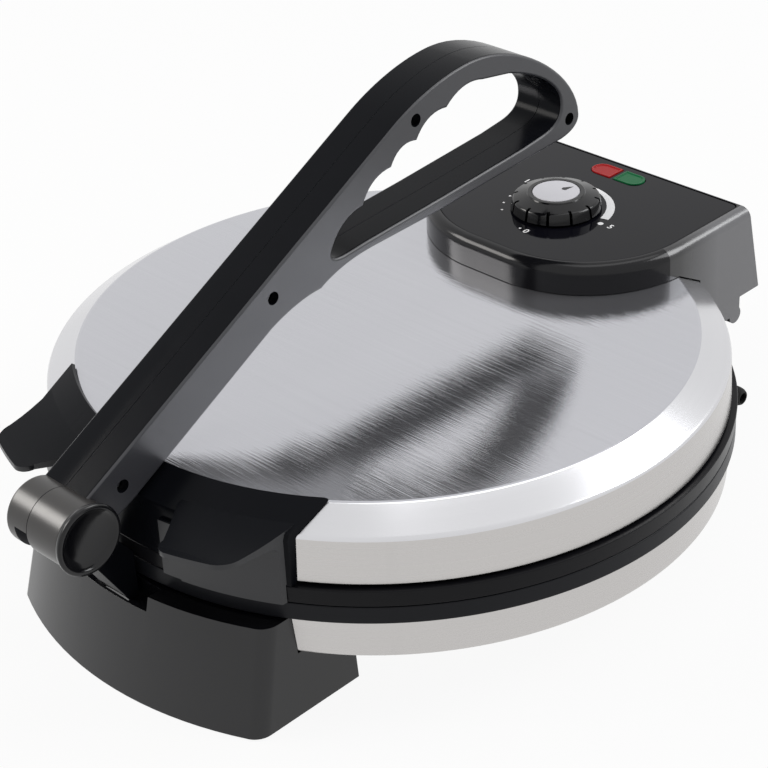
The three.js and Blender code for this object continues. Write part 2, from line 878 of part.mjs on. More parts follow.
// Lever bracket: a flange under the pan, a stem inside the foot, a leaning arm whose end follows
// the lever's hub, and a tongue that stands in the slot of the hub
function leverBracket() {
  const clear = hubRadius + armHubGap;
  const around = (radius, angle) => [radius * Math.cos(angle) - pivotY, radius * Math.sin(angle) + pivotZ];
  const [frontY, frontZ] = around(clear, armFrontAngle);
  const bendZ = frontZ - (-armFront - frontY) / Math.tan(armLean);
  const stemBackY = armThickness - armFront;
  const side = new THREE.Shape();
  side.moveTo(-armFront, flangeZ);
  side.lineTo(stemBackY, flangeZ);
  side.lineTo(stemBackY, pivotZ - armShoulderDrop);
  side.lineTo(...around(clear, armRearAngle));
  side.absarc(-pivotY, pivotZ, clear, armRearAngle, armFrontAngle, true);
  side.lineTo(-armFront, bendZ);
  const neck = wedge(-pivotY, pivotZ, clear + tongueRoot, neckStart, neckEnd);
  const flange = block([-flangeHalf, -armFront, flangeZ], [flangeHalf, -flangeBackY, flangeTopZ]);
  const bracket = join([
    slab(side, -armHalf, armHalf),
    flange,
    slab(neck, -tongueOuter, -gap),
    axle(tongueRadius, -tongueOuter, -gap, -pivotY, pivotZ, padSides),
  ]);
  const holes = bracketPlaces.map(([x, y]) => (
    post(screwHole, flangeZ - overrun, flangeTopZ + overrun, x, y, screwSides)
  ));
  const bore = axle(pinRadius + gap, -tongueOuter - overrun, gap, -pivotY, pivotZ, padSides);
  return cut(bracket, [bore, ...holes]);
}
piece(base, 'lever_bracket', leverBracket(), glossBlack);
bracketPlaces.forEach((place, i) => {
  const head = flangeZ - gap - screwHeadHeight;
  piece(base, `bracket_screw_${['left', 'right'][i]}`, uprightScrew(head, screwTipZ, place), bareSteel);
});

const capSeatX = leverHalf + gap;
const capStubX = capSeatX - capStubDepth;
const pivotPin = axle(pinRadius, -pinLeft, capStubX - looseGap, -pivotY, pivotZ, padSides);
piece(base, 'pivot_pin', pivotPin, bareSteel);
piece(base, 'hinge_pin', axle(hingePinRadius, -hingePinHalf, hingePinHalf, hingeY, hingeZ), bareSteel);

// Lid cover: a drawn steel bowl upside down, with the thermostat's window and screw holes
const gripScrewZ = bevelZ - gripScrewDrop;
const gripScrewAngles = { left: -Math.PI / 2 - gripScrewAngle, right: gripScrewAngle - Math.PI / 2 };
const gripScrewTip = coverRadius + gripScrewReach;
const windowX = thermostatWidth / 2 + thermostatWindowMargin;
const windowY = thermostatDepth / 2 + thermostatWindowMargin;

function lidCover() {
  const bowl = revolve([
    [coverRadius + coverFlare, coverZ],
    [coverRadius, bevelZ],
    [flatRadius, flatZ],
    [0, flatZ],
    [0, flatZ - sheet],
    [flatRadius - sheetFold, flatZ - sheet],
    [coverRadius - sheet, bevelZ - sheetFold],
    [coverRadius + coverFlare - sheet, coverZ],
  ]);
  const low = flatZ - sheet - overrun;
  const high = flatZ + overrun;
  const radialHoles = Object.values(gripScrewAngles).map((angle) => revolveOutwards([
    [0, coverRadius - sheet - overrun],
    [screwHole, coverRadius - sheet - overrun],
    [screwHole, coverRadius + overrun],
    [0, coverRadius + overrun],
  ], angle, gripScrewZ));
  return cut(bowl, [
    block([-windowX, knobY - windowY, low], [windowX, knobY + windowY, high]),
    ...housingPlaces.map(([x, y]) => post(screwHole, low, high, x, y, screwSides)),
    ...radialHoles,
  ]);
}
piece(lid, 'lid_cover', lidCover(), brushed);

// The space that the cover takes, with its clearance, which the pieces on it are cut by
const coverSpace = revolve([
  [0, lidRimZ],
  [coverRadius + coverFlare + gap, lidRimZ],
  [coverRadius + coverFlare + gap, coverZ],
  [coverRadius + gap, bevelZ + gap],
  [flatRadius + gap, flatZ + gap],
  [0, flatZ + gap],
]);

// Front grip: a collar over the cover's bevel and band, and two thumb lugs with a wall below each
function lugPlan() {
  const innerX = lugInner + lugInnerCorner;
  const innerY = -Math.sqrt((lugRadius - lugInnerCorner) ** 2 - innerX ** 2);
  const outerX = lugOuter - lugOuterCorner;
  const outerY = -Math.sqrt((lugRadius - lugOuterCorner) ** 2 - outerX ** 2);
  const innerMeet = Math.atan2(innerY, innerX) + 2 * Math.PI;
  const outerMeet = Math.atan2(outerY, outerX) + 2 * Math.PI;
  const plan = new THREE.Shape();
  plan.absarc(innerX, innerY, lugInnerCorner, Math.PI, innerMeet, false);
  plan.absarc(0, 0, lugRadius, innerMeet, outerMeet, false);
  plan.absarc(outerX, outerY, lugOuterCorner, outerMeet, 2 * Math.PI, false);
  plan.lineTo(gripBackHalf, -gripBackY);
  plan.lineTo(lugInner, -gripBackY);
  return plan;
}

function lidGrip() {
  const back = flatRadius + gap;
  const lowZ = lidRimTopZ + gap;
  const edgeZ = flatZ + collarEdge;
  const wallRadius = rimRadius + rimFlare + gap;
  const collar = revolve([
    [back, lowZ],
    [back, edgeZ],
    [back + collarEdge, flatZ + collarSkin],
    [coverRadius + collarSkin, bevelZ + collarSkin],
    [rimRadius + rimFlare, bevelZ],
    [rimRadius + rimFlare, lowZ],
  ]);
  const slope = lugFall / (lugRadius - back);
  const lipTopZ = edgeZ - lugFall;
  const lipZ = lipTopZ - lugThickness;
  const beyond = lugRadius + overrun;
  const lugs = revolve([
    [back, lowZ],
    [back, edgeZ],
    [beyond, lipTopZ - overrun * slope],
    [beyond, lipZ],
    [wallRadius + gripWall + lugHaunch, lipZ],
    [wallRadius + gripWall, lipZ - lugHaunch],
    [wallRadius + gripWall, lidRimZ + gap],
    [wallRadius, lidRimZ + gap],
    [wallRadius, lowZ],
  ]);
  const sideSlope = (gripBackHalf - lugOuter) / (lugRadius - gripBackY);
  const frontHalf = lugOuter - overrun * sideSlope;
  const collarPlan = outline([
    [gripBackHalf, -gripBackY],
    [-gripBackHalf, -gripBackY],
    [-frontHalf, -lugRadius - overrun],
    [frontHalf, -lugRadius - overrun],
  ]);
  const low = lidRimZ - overrun;
  const high = flatZ + collarSkin + overrun;
  const rightLug = lugs.intersect(prism(lugPlan(), low, high));
  const holes = Object.values(gripScrewAngles).map((angle) => revolveOutwards([
    [0, coverRadius],
    [screwHole, coverRadius],
    [screwHole, gripScrewTip + gap],
    [0, gripScrewTip + gap],
  ], angle, gripScrewZ));
  const grip = join([collar.intersect(prism(collarPlan, low, high)), rightLug, mirrored(rightLug)]);
  return cut(grip, [coverSpace, ...holes]);
}
piece(lid, 'lid_grip', lidGrip(), satinBlack);

Object.entries(gripScrewAngles).forEach(([side, angle]) => {
  const seat = (coverRadius - sheet) * Math.cos(Math.PI / roundSides) - gap;
  const screw = revolveOutwards(screwProfile(seat - screwHeadHeight, gripScrewTip), angle, gripScrewZ);
  piece(lid, `grip_screw_${side}`, screw, bareSteel);
});

// Control housing: a leaning D in plan, hollow and open below, with a shelf for the panel
function housingPlan(inset, spread = 0, lean = 0) {
  const half = housingHalf + spread - inset;
  const front = housingFront + inset;
  const rear = housingRear + lean - inset;
  const corner = housingCorner - inset;
  const small = housingRearCorner;
  const plan = new THREE.Shape();
  plan.absarc(half - small, rear - small, small, 0, Math.PI / 2, false);
  plan.absarc(small - half, rear - small, small, Math.PI / 2, Math.PI, false);
  plan.absarc(corner - half, front + corner, corner, Math.PI, 1.5 * Math.PI, false);
  plan.absarc(half - corner, front + corner, corner, 1.5 * Math.PI, 2 * Math.PI, false);
  return plan;
}

function housingSection(z, inset) {
  const share = (housingShoulderZ - z) / (housingShoulderZ - housingFloorZ);
  return { z, shape: housingPlan(inset, housingSpread * share, housingLean * share) };
}

function hingeEar() {
  const inner = knuckleOuter + gap;
  const outer = housingHalf + housingSpread;
  const top = housingFloorZ + housingFloor / 2;
  const cheek = block([inner, hingeY - earRadius, hingeZ], [outer, hingeY + earRadius, top]);
  return join([axle(earRadius, inner, outer, hingeY, hingeZ, padSides), cheek]);
}

function controlHousing() {
  const shelfZ = panelBackZ - gap;
  const throatZ = shelfZ - housingShelf;
  const outside = loft([
    housingSection(housingFloorZ, 0),
    housingSection(housingShoulderZ, 0),
    { z: housingTopZ, shape: housingPlan(housingChamfer) },
  ]);
  const inside = loft([
    housingSection(housingFloorZ + housingFloor, housingWall),
    housingSection(throatZ, housingWall),
  ]);
  const throat = prism(housingPlan(housingThroat), throatZ - overrun, shelfZ + gap);
  const recess = prism(housingPlan(panelBorder - gap), shelfZ, housingTopZ + overrun);
  const bosses = housingPlaces.map(([x, y]) => (
    post(housingBossRadius, flatZ, flatZ + housingBossRise, x, y)
  ));
  const shell = join([cut(outside, [inside, throat, recess]), hingeEar(), mirrored(hingeEar()), ...bosses]);
  const screwHoles = housingPlaces.map(([x, y]) => (
    post(screwHole, flatZ, flatZ + housingScrewReach - gap, x, y, screwSides)
  ));
  const pinEnd = hingePinHalf + gap;
  const pinHole = axle(hingePinRadius + gap, knuckleInner, pinEnd, hingeY, hingeZ);
  return cut(shell, [coverSpace, ...screwHoles, pinHole, mirrored(pinHole)]);
}
piece(lid, 'control_housing', controlHousing(), glossBlack);
housingPlaces.forEach((place, i) => {
  const head = flatZ - sheet - gap - screwHeadHeight;
  const tip = flatZ + housingScrewReach - looseGap;
  piece(lid, `housing_screw_${['left', 'right'][i]}`, uprightScrew(head, tip, place), bareSteel);
});

// Half of a pill shaped window, on the right of the middle
function lensPlan(margin) {
  const centre = lensHalfLength - lensHalfWidth;
  const radius = lensHalfWidth + margin;
  const plan = new THREE.Shape();
  plan.absarc(centre, lensY, radius, -Math.PI / 2, Math.PI / 2, false);
  plan.lineTo(lensInner - margin, lensY + radius);
  plan.lineTo(lensInner - margin, lensY - radius);
  return plan;
}

const lensTopZ = panelZ + lensProud;
const lensZ = lensTopZ - lensDepth;

function controlPanel() {
  const plate = prism(housingPlan(panelBorder), panelBackZ, panelZ);
  const low = panelBackZ - overrun;
  const high = panelZ + overrun;
  const window = prism(lensPlan(gap), low, high);
  const shaftHole = post(shaftRadius + looseGap, low, high, 0, knobY, padSides);
  return cut(plate, [window, mirrored(window), shaftHole]);
}
piece(lid, 'control_panel', controlPanel(), slate);
const lens = prism(lensPlan(0), lensZ, lensTopZ);
piece(lid, 'green_lens', lens, greenWindow);
piece(lid, 'red_lens', mirrored(lens), redWindow);
const lampX = (lensInner + lensHalfLength) / 2;
const lamp = post(lampRadius, lensZ - gap - lampLength, lensZ - gap, lampX, lensY);
piece(lid, 'green_lamp', lamp, lampGlass);
piece(lid, 'red_lamp', mirrored(lamp), lampGlass);

// Thermostat: a switch body under the panel, with the bush that its shaft turns in
function thermostat() {
  const bushTopZ = panelBackZ - gap;
  const topZ = bushTopZ - bushHeight;
  const body = block(
    [-thermostatWidth / 2, knobY - thermostatDepth / 2, topZ - thermostatHeight],
    [thermostatWidth / 2, knobY + thermostatDepth / 2, topZ],
  );
  const bush = post(bushRadius, topZ - overrun, bushTopZ, 0, knobY, padSides);
  const bore = post(shaftRadius + gap, shaftEndZ - gap, bushTopZ + overrun, 0, knobY, padSides);
  return cut(join([body, bush]), [bore]);
}
const shaftTop = knobSocket - gap;
const shaftEndZ = panelZ + shaftTop - shaftLength;
piece(lid, 'thermostat', thermostat(), ceramic);

// Dial knob, drawn from the panel's face up
function dialKnob() {
  const bed = knobHeight - knobCapThickness - gap;
  const sides = knobFlutes * knobFacetsPerFlute;
  const body = revolve([
    [shaftRadius + gap, knobLift],
    [knobRadius, knobLift],
    [knobRadius - knobTaper, knobShoulder],
    [knobStepRadius, knobStep],
    [knobStepRadius - gap, knobHeight],
    [knobCapRadius + gap, knobHeight],
    [knobCapRadius + gap, bed],
    [0, bed],
    [0, knobSocket],
    [shaftRadius + gap, knobSocket],
  ], sides);
  const flutes = Array.from({ length: knobFlutes }, (_, i) => {
    const angle = (2 * Math.PI * i) / knobFlutes;
    const [x, y] = [knobRadius * Math.cos(angle), knobRadius * Math.sin(angle)];
    return post(knobFluteRadius, knobLift - overrun, knobShoulder + overrun, x, y, screwSides);
  });
  return cut(body, flutes);
}
piece(dial, 'knob', dialKnob(), satinBlack);
const capTop = knobHeight;
const capSides = knobFlutes * knobFacetsPerFlute;
const knobCap = post(knobCapRadius, capTop - knobCapThickness, capTop, 0, 0, capSides);
const shaft = post(shaftRadius, shaftTop - shaftLength, shaftTop, 0, 0, padSides);
piece(dial, 'knob_cap', knobCap, greyPlastic);
piece(dial, 'thermostat_shaft', shaft, bareSteel);

// Lever, drawn from its pivot: a straight arm and a crowned loop with five finger grooves
function leverShape() {
  const at = ([along, up]) => [along * leverReach, up * leverCrown];
  const bend = (path, shares) => {
    const corners = shares.flatMap(at);
    if (shares.length === 3) path.bezierCurveTo(...corners);
    else path.quadraticCurveTo(...corners);
  };
  const [heel, ...heelBend] = leverHeelShares;
  const shape = new THREE.Shape();
  shape.moveTo(...at(leverTopShares[0]));
  shape.lineTo(...at(leverTopShares[1]));
  bend(shape, leverCrownShares);
  bend(shape, leverNoseShares);
  bend(shape, leverChinShares);
  leverBarShares.forEach((share) => shape.lineTo(...at(share)));
  bend(shape, leverThroatShares);
  bend(shape, leverBumpShares);
  shape.lineTo(...at(heel));
  bend(shape, heelBend.slice(0, 2));
  shape.lineTo(...at(heelBend[2]));

  const loop = new THREE.Path();
  loop.moveTo(...at(loopSillShares[0]));
  loopSillShares.slice(1).forEach((share) => loop.lineTo(...at(share)));
  bend(loop, loopCornerShares);
  bend(loop, loopCrownShares);
  const cusps = loopCuspShares.map((share) => new THREE.Vector2(...at(share)));
  loop.lineTo(cusps[0].x, cusps[0].y);
  cusps.slice(1).forEach((cusp, i) => {
    const chord = cusp.clone().sub(cusps[i]);
    const outwards = new THREE.Vector2(chord.y, -chord.x).normalize();
    const middle = cusps[i].clone().addScaledVector(chord, 1 / 2).addScaledVector(outwards, 2 * grooveDepth);
    loop.quadraticCurveTo(middle.x, middle.y, cusp.x, cusp.y);
  });
  shape.holes.push(loop);
  return shape;
}

const leverScrewPlaces = Object.entries(leverScrewShares).map(([name, [along, up]]) => (
  { name, y: along * leverReach, z: up * leverCrown }
));
const leverScrewHeadX = leverHalf - leverScrewSink;
const leverScrewNeckX = leverScrewHeadX - leverScrewHeadHeight;

function leverCore(clearance) {
  const geometry = geometryOf(block(
    [-coreHalf - clearance, coreStart - clearance, -coreBottom - clearance],
    [coreHalf + clearance, coreEnd + clearance, coreTop + clearance],
  ));
  geometry.rotateX(leverPitch);
  return solid(geometry);
}

function leverShells() {
  const whole = join([
    slab(leverShape(), -leverHalf, leverHalf, leverEdge),
    axle(hubRadius, -leverHalf, leverHalf, 0, 0, hubSides),
  ]);
  const [farY, farZ] = [leverReach + leverHalf, leverCrown + leverHalf];
  const halfSpace = (left, right) => block([left, -farY, -farZ], [right, farY, farZ]);
  const pocket = leverCore(gap);
  const shafts = leverScrewPlaces.map(({ y, z }) => (
    axle(leverScrewRadius + gap, -leverScrewTip - gap, leverHalf + overrun, y, z, screwSides)
  ));
  const sinks = leverScrewPlaces.map(({ y, z }) => (
    axle(leverScrewHeadRadius + gap, leverScrewNeckX - gap, leverHalf + overrun, y, z)
  ));
  const pinHole = axle(pinRadius + gap, -pinLeft - gap, leverHalf, 0, 0, padSides);
  const slot = wedge(0, 0, hubRadius + overrun, slotStart, slotEnd);
  const slotLeft = -tongueOuter - gap;
  const left = cut(whole, [
    halfSpace(-gap / 2, leverHalf + overrun),
    slab(slot, slotLeft, 0),
    axle(tongueRadius + gap, slotLeft, 0, 0, 0, hubSides),
    pinHole,
    pocket,
    ...shafts,
  ]);
  const right = cut(whole, [
    halfSpace(-leverHalf - overrun, gap / 2),
    axle(capStubRadius + gap, capStubX - gap, leverHalf + overrun, 0, 0, padSides),
    pinHole,
    pocket,
    ...shafts,
    ...sinks,
  ]);
  return { left, right };
}

const shells = leverShells();
piece(lever, 'lever_left_shell', shells.left, satinBlack);
piece(lever, 'lever_right_shell', shells.right, satinBlack);
const coreScrewHoles = leverScrewPlaces.map(({ y, z }) => (
  axle(leverScrewRadius + gap, -leverHalf, leverHalf, y, z, screwSides)
));
piece(lever, 'lever_core', cut(leverCore(0), coreScrewHoles), bareSteel);
leverScrewPlaces.forEach(({ name, y, z }) => {
  const screw = revolveAlongX([
    [0, leverScrewHeadX],
    [leverScrewHeadRadius, leverScrewHeadX],
    [leverScrewHeadRadius, leverScrewNeckX],
    [leverScrewRadius, leverScrewNeckX],
    [leverScrewRadius, -leverScrewTip],
    [0, -leverScrewTip],
  ], y, z, screwSides);
  piece(lever, `lever_screw_${name}`, screw, bareSteel);
});

function pivotCap() {
  const face = capSeatX + capThickness;
  return revolveAlongX([
    [0, capStubX],
    [capStubRadius, capStubX],
    [capStubRadius, capSeatX],
    [capRimRadius, capSeatX],
    [capRimRadius, face - capRimRound],
    [capRimRadius - capRimRound, face],
    [capRimRadius - capRimWidth, face],
    [capRimRadius - capRimWidth - capRimRound, face - capDish],
    [0, face - capDish],
  ], 0, 0);
}
piece(lever, 'pivot_cap', pivotCap(), glossBlack);

export default machine;
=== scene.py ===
import json
from math import atan2, cos, degrees, hypot, pi, radians, sin

import bmesh
import bpy
from mathutils import Matrix, Vector
from mathutils.geometry import interpolate_bezier


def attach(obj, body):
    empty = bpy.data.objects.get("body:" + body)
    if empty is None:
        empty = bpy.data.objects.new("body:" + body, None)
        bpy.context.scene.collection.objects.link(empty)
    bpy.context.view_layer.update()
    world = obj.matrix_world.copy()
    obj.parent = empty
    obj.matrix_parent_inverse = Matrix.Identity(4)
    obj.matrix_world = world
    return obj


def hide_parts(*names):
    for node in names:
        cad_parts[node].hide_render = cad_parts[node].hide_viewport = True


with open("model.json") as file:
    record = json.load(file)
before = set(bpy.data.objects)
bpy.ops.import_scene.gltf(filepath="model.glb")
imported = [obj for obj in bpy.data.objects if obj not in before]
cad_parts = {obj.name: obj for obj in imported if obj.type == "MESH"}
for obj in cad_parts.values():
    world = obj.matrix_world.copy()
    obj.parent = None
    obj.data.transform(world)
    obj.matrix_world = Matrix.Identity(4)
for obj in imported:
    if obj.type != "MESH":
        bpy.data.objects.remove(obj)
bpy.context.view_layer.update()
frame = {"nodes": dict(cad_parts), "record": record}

# Lengths are in millimetres until a piece is finished, which turns it into metres
machine = {
    "axisY": 9.85,  # centre line of the plates and the casings
    "panFloor": 27.5,
    "panTop": 44.45,
    "closing": 52.2,
    "lidRim": 52.5,
    "coverFoot": 60.9,
    "bevel": 80.0,
    "flat": 88.0,
    "coverRadius": 140.0,
    "coverFlare": 0.65,
    "flatRadius": 127.35,
    "rimRadius": 142.8,
    "rimFlare": 0.4,
    "panRadius": 140.1,
    "panel": 101.3,
    "pivot": (0, -162.65, 82.5),
    "hinge": (0, 159.85, 52.35),
    "knob": (0, 115.85),
    "fit": 0.3,
    "beyond": 2.0,  # how far a cutting form reaches past what it cuts
}
axisY = machine["axisY"]
axisPoint = (0, axisY, 0)
panelTop = machine["panel"]
knobSeat = (*machine["knob"], panelTop)
fit = machine["fit"]
beyond = machine["beyond"]
metre = 0.001
white = (1, 1, 1, 1)
scene = bpy.context.scene


# Shaping tools

shaping = {
    "weld": 0.002, "drawWeld": 0.01, "combineWeld": 0.003, "flatAngle": 0.3, "onAxis": 0.001,
    "arcStep": 2.5, "fewestSteps": 4, "cornerSegments": 4,
}
origin = (0, 0, 0)
upwards = (0, 0, 1)
sideways = Matrix(((0, 0, 1, 0), (1, 0, 0, 0), (0, 1, 0, 0), (0, 0, 0, 1)))  # takes X and Y to Y and Z


def addObject(name, data):
    thing = bpy.data.objects.new(name, data)
    scene.collection.objects.link(thing)
    return thing


def newForm(bm, name="form"):
    mesh = bpy.data.meshes.new(name)
    bm.to_mesh(mesh)
    bm.free()
    return addObject(name, mesh)


def openForm(form):
    bm = bmesh.new()
    bm.from_mesh(form.data)
    return bm


def closeForm(form, bm):
    bm.to_mesh(form.data)
    bm.free()
    return form


def madeMesh(thing):
    # what an object's modifiers or its curve make
    graph = bpy.context.evaluated_depsgraph_get()
    return bpy.data.meshes.new_from_object(thing.evaluated_get(graph))


def settle(form):
    mesh = madeMesh(form)
    form.modifiers.clear()
    form.data = mesh
    return form


def curveForm(curve, name):
    holder = addObject(name, curve)
    mesh = madeMesh(holder)
    bpy.data.objects.remove(holder)
    return addObject(name, mesh)


def weld(bm, gap=shaping["weld"]):
    bmesh.ops.remove_doubles(bm, verts=bm.verts, dist=gap)


def faceOut(bm):
    bmesh.ops.recalc_face_normals(bm, faces=bm.faces)


def turnRound(bm, angle, axis):
    bmesh.ops.rotate(bm, cent=origin, matrix=Matrix.Rotation(angle, 3, axis), verts=bm.verts)


def combine(form, others, how="DIFFERENCE"):
    for other in others:
        step = form.modifiers.new("combine", "BOOLEAN")
        step.solver = "EXACT"
        step.operation = how
        step.object = other
    settle(form)
    for other in others:
        bpy.data.objects.remove(other)
    bm = openForm(form)
    weld(bm, shaping["combineWeld"])
    bmesh.ops.dissolve_limit(bm, angle_limit=radians(shaping["flatAngle"]), verts=bm.verts, edges=bm.edges)
    return closeForm(form, bm)


def soften(form, width, segments=3, angle=35):
    step = form.modifiers.new("soften", "BEVEL")
    step.width = width
    step.segments = segments
    step.limit_method = "ANGLE"
    step.angle_limit = radians(angle)
    step.use_clamp_overlap = True
    return settle(form)


def flipped(form):
    bm = openForm(form)
    bmesh.ops.scale(bm, vec=(-1, 1, 1), verts=bm.verts)
    faceOut(bm)
    return newForm(bm)


def roundCorner(bm, corner, radius, segments=shaping["cornerSegments"]):
    bmesh.ops.bevel(bm, geom=[corner], offset=radius, segments=segments, profile=0.5,
                    affect="VERTICES", material=-1)


def roundTop(bm, top, width, segments):
    rim = [edge for edge in bm.edges if all(vert.co.z > top - 0.01 for vert in edge.verts)]
    bmesh.ops.bevel(bm, geom=rim, offset=width, segments=segments, profile=0.5, affect="EDGES", material=-1)
    faceOut(bm)
    return newForm(bm)


def lathe(profile, centre=origin, steps=160, alongX=False, start=0.0, sweep=0.0):
    # the closed profile has radius, height and, where the corner is rounded, how much
    bm = bmesh.new()
    corners = [bm.verts.new((radius, 0, height)) for radius, height, *rounding in profile]
    bm.faces.new(corners)
    for corner, (radius, height, *rounding) in zip(corners, profile):
        if any(rounding):
            roundCorner(bm, corner, rounding[0])
    if sweep:  # a sector keeps the faces at its ends
        turnRound(bm, start, "Z")
    else:
        bmesh.ops.delete(bm, geom=bm.faces[:], context="FACES_ONLY")
        onAxis = [edge for edge in bm.edges if all(vert.co.x < shaping["onAxis"] for vert in edge.verts)]
        bmesh.ops.delete(bm, geom=onAxis, context="EDGES")
    bmesh.ops.spin(bm, geom=bm.verts[:] + bm.edges[:] + bm.faces[:], cent=origin, axis=upwards,
                   angle=sweep or 2 * pi, steps=steps, use_merge=not sweep)
    weld(bm)
    faceOut(bm)
    if alongX:
        turnRound(bm, pi / 2, "Y")
    bmesh.ops.translate(bm, vec=centre, verts=bm.verts)
    return newForm(bm)


def drawPlan(bm, start, moves, height=0.0):
    # a move is a point to draw to, or a centre and an angle to swing round it
    first = last = bm.verts.new((*start, height))
    for move in moves:
        if len(move) == 2:
            point = bm.verts.new((*move, height))
            bm.edges.new((last, point))
            last = point
        else:
            x, y, angle = move
            steps = max(shaping["fewestSteps"], round(abs(degrees(angle)) / shaping["arcStep"]))
            swung = bmesh.ops.spin(bm, geom=[last], cent=(x, y, 0), axis=upwards, angle=angle, steps=steps)
            last = swung["geom_last"][0]
    bm.edges.new((last, first))
    weld(bm, shaping["drawWeld"])
    bmesh.ops.contextual_create(bm, geom=bm.edges[:])


def raisePlan(bm, height):
    grown = bmesh.ops.extrude_face_region(bm, geom=bm.faces[:])
    top = [item for item in grown["geom"] if isinstance(item, bmesh.types.BMVert)]
    bmesh.ops.translate(bm, vec=(0, 0, height), verts=top)
    faceOut(bm)
    return top


def prism(start, moves, low, high):
    bm = bmesh.new()
    drawPlan(bm, start, moves, low)
    raisePlan(bm, high - low)
    return newForm(bm)


def sidePrism(start, moves, left, right):
    # an outline in Y and Z, run along X
    bm = bmesh.new()
    drawPlan(bm, start, moves)
    raisePlan(bm, right - left)
    bmesh.ops.transform(bm, matrix=Matrix.Translation((left, 0, 0)) @ sideways, verts=bm.verts)
    return newForm(bm)


def block(low, high):
    bm = bmesh.new()
    size = [b - a for a, b in zip(low, high)]
    middle = [(a + b) / 2 for a, b in zip(low, high)]
    bmesh.ops.create_cube(bm, size=1)
    bmesh.ops.scale(bm, vec=size, verts=bm.verts)
    bmesh.ops.translate(bm, vec=middle, verts=bm.verts)
    return newForm(bm)


def rod(radius, centre, low, high, steps=32, alongX=False, edge=0.0):
    return lathe([(0, low), (radius, low, edge), (radius, high), (0, high)], centre, steps, alongX)


def crossRod(radius, centre, low, high, steps=32):
    return rod(radius, centre, low, high, steps, alongX=True)


def finishPiece(form, name, body, nodes, looks, chooser=None, sharpAngle=30):
    form.data.materials.clear()
    for look in looks:
        form.data.materials.append(finishes[look])
    for face in form.data.polygons:
        face.material_index = chooser(face) if chooser else 0
    form.data.transform(Matrix.Scale(metre, 4))
    for face in form.data.polygons:
        face.use_smooth = True
    form.data.set_sharp_from_angle(angle=radians(sharpAngle))
    step = form.modifiers.new("evenShading", "WEIGHTED_NORMAL")
    step.keep_sharp = True
    settle(form)
    form.name = name
    form.data.name = name
    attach(form, body)
    if nodes:
        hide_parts(*nodes)


print("tools ready")


# Finishes. An input of a node is a value or the socket that feeds it

def newNode(tree, kind, inputs, operation=None, group=None):
    node = tree.nodes.new("ShaderNode" + kind)
    if operation:
        node.operation = operation
    if group:
        node.node_tree = group
    for label, value in inputs.items():
        if isinstance(value, bpy.types.NodeSocket):
            tree.links.new(value, node.inputs[label])
        else:
            node.inputs[label].default_value = value
    return node.outputs


def mathNode(tree, operation, first, second):
    return newNode(tree, "Math", {0: first, 1: second}, operation)[0]


def noiseNode(tree, vector, scale, detail):
    return newNode(tree, "TexNoise", {"Vector": vector, "Scale": scale, "Detail": detail})["Fac"]


def swing(tree, noise, amount, middle):
    # a noise about its middle, times an amount, added to a value
    about = mathNode(tree, "SUBTRACT", noise, 0.5)
    return mathNode(tree, "ADD", mathNode(tree, "MULTIPLY", about, amount), middle)


def newGroup(name, given, made):
    group = bpy.data.node_groups.new(name, "ShaderNodeTree")
    for way, sockets in (("INPUT", given), ("OUTPUT", made)):
        for label, kind in sockets.items():
            group.interface.new_socket(label, in_out=way, socket_type="NodeSocket" + kind)
    return group, group.nodes.new("NodeGroupInput").outputs, group.nodes.new("NodeGroupOutput").inputs


noises = {  # scale and detail
    "patches": (28.0, 3.0), "smears": (75.0, 4.0), "grainDetail": 1.0,
    "lines": (1.0, 3.0), "broad": (0.16, 2.0), "lineShare": 0.65, "broadShare": 0.35,
}


def newSkin(name, makeNoises, relief):
    # a skin's lightness, gloss and height each follow a noise
    group, given, result = newGroup(name, {
        "Vector": "Vector", "Colour": "Color", "Shade": "Float", "Roughness": "Float", "Spread": "Float",
        "Grain": "Float", "Depth": "Float",
    }, {"Colour": "Color", "Roughness": "Float", "Normal": "Vector"})
    lightness, gloss, height = makeNoises(group, given["Vector"], given["Grain"])
    shade = swing(group, lightness, given["Shade"], 1.0)
    tinted = newNode(group, "VectorMath", {0: given["Colour"], "Scale": shade}, "SCALE")[0]
    bump = newNode(group, "Bump", {"Distance": relief, "Height": height, "Strength": given["Depth"]})["Normal"]
    group.links.new(tinted, result["Colour"])
    group.links.new(swing(group, gloss, given["Spread"], given["Roughness"]), result["Roughness"])
    group.links.new(bump, result["Normal"])
    return group


def mouldedNoises(group, vector, grain):
    # patches, smears and the fine grain of a moulded plastic or rubber
    return (noiseNode(group, vector, *noises["patches"]), noiseNode(group, vector, *noises["smears"]),
            noiseNode(group, vector, grain, noises["grainDetail"]))


def brushedNoises(group, vector, grain):
    # lines along the first axis of the vector, which the material stretches; the grain isn't used
    lines = noiseNode(group, vector, *noises["lines"])
    broad = noiseNode(group, vector, *noises["broad"])
    mixed = mathNode(group, "ADD", mathNode(group, "MULTIPLY", lines, noises["lineShare"]),
                     mathNode(group, "MULTIPLY", broad, noises["broadShare"]))
    return mixed, broad, lines


def turnedVector():
    # lines round the machine's axis: little change around, quick change across
    group, given, result = newGroup("turnedVector", {"Vector": "Vector", "Around": "Float", "Across": "Float"},
                                    {"Vector": "Vector"})
    x, y, z = newNode(group, "SeparateXYZ", {0: given["Vector"]})
    squares = mathNode(group, "ADD", mathNode(group, "MULTIPLY", x, x), mathNode(group, "MULTIPLY", y, y))
    radius = mathNode(group, "SQRT", squares, 0.0)
    guarded = mathNode(group, "MAXIMUM", radius, 0.0001)
    around = [mathNode(group, "MULTIPLY", mathNode(group, "DIVIDE", part, guarded), given["Around"])
              for part in (x, y)]
    across = mathNode(group, "MULTIPLY", mathNode(group, "SUBTRACT", radius, z), given["Across"])
    joined = newNode(group, "CombineXYZ", {0: around[0], 1: around[1], 2: across})
    group.links.new(joined[0], result["Vector"])
    return group


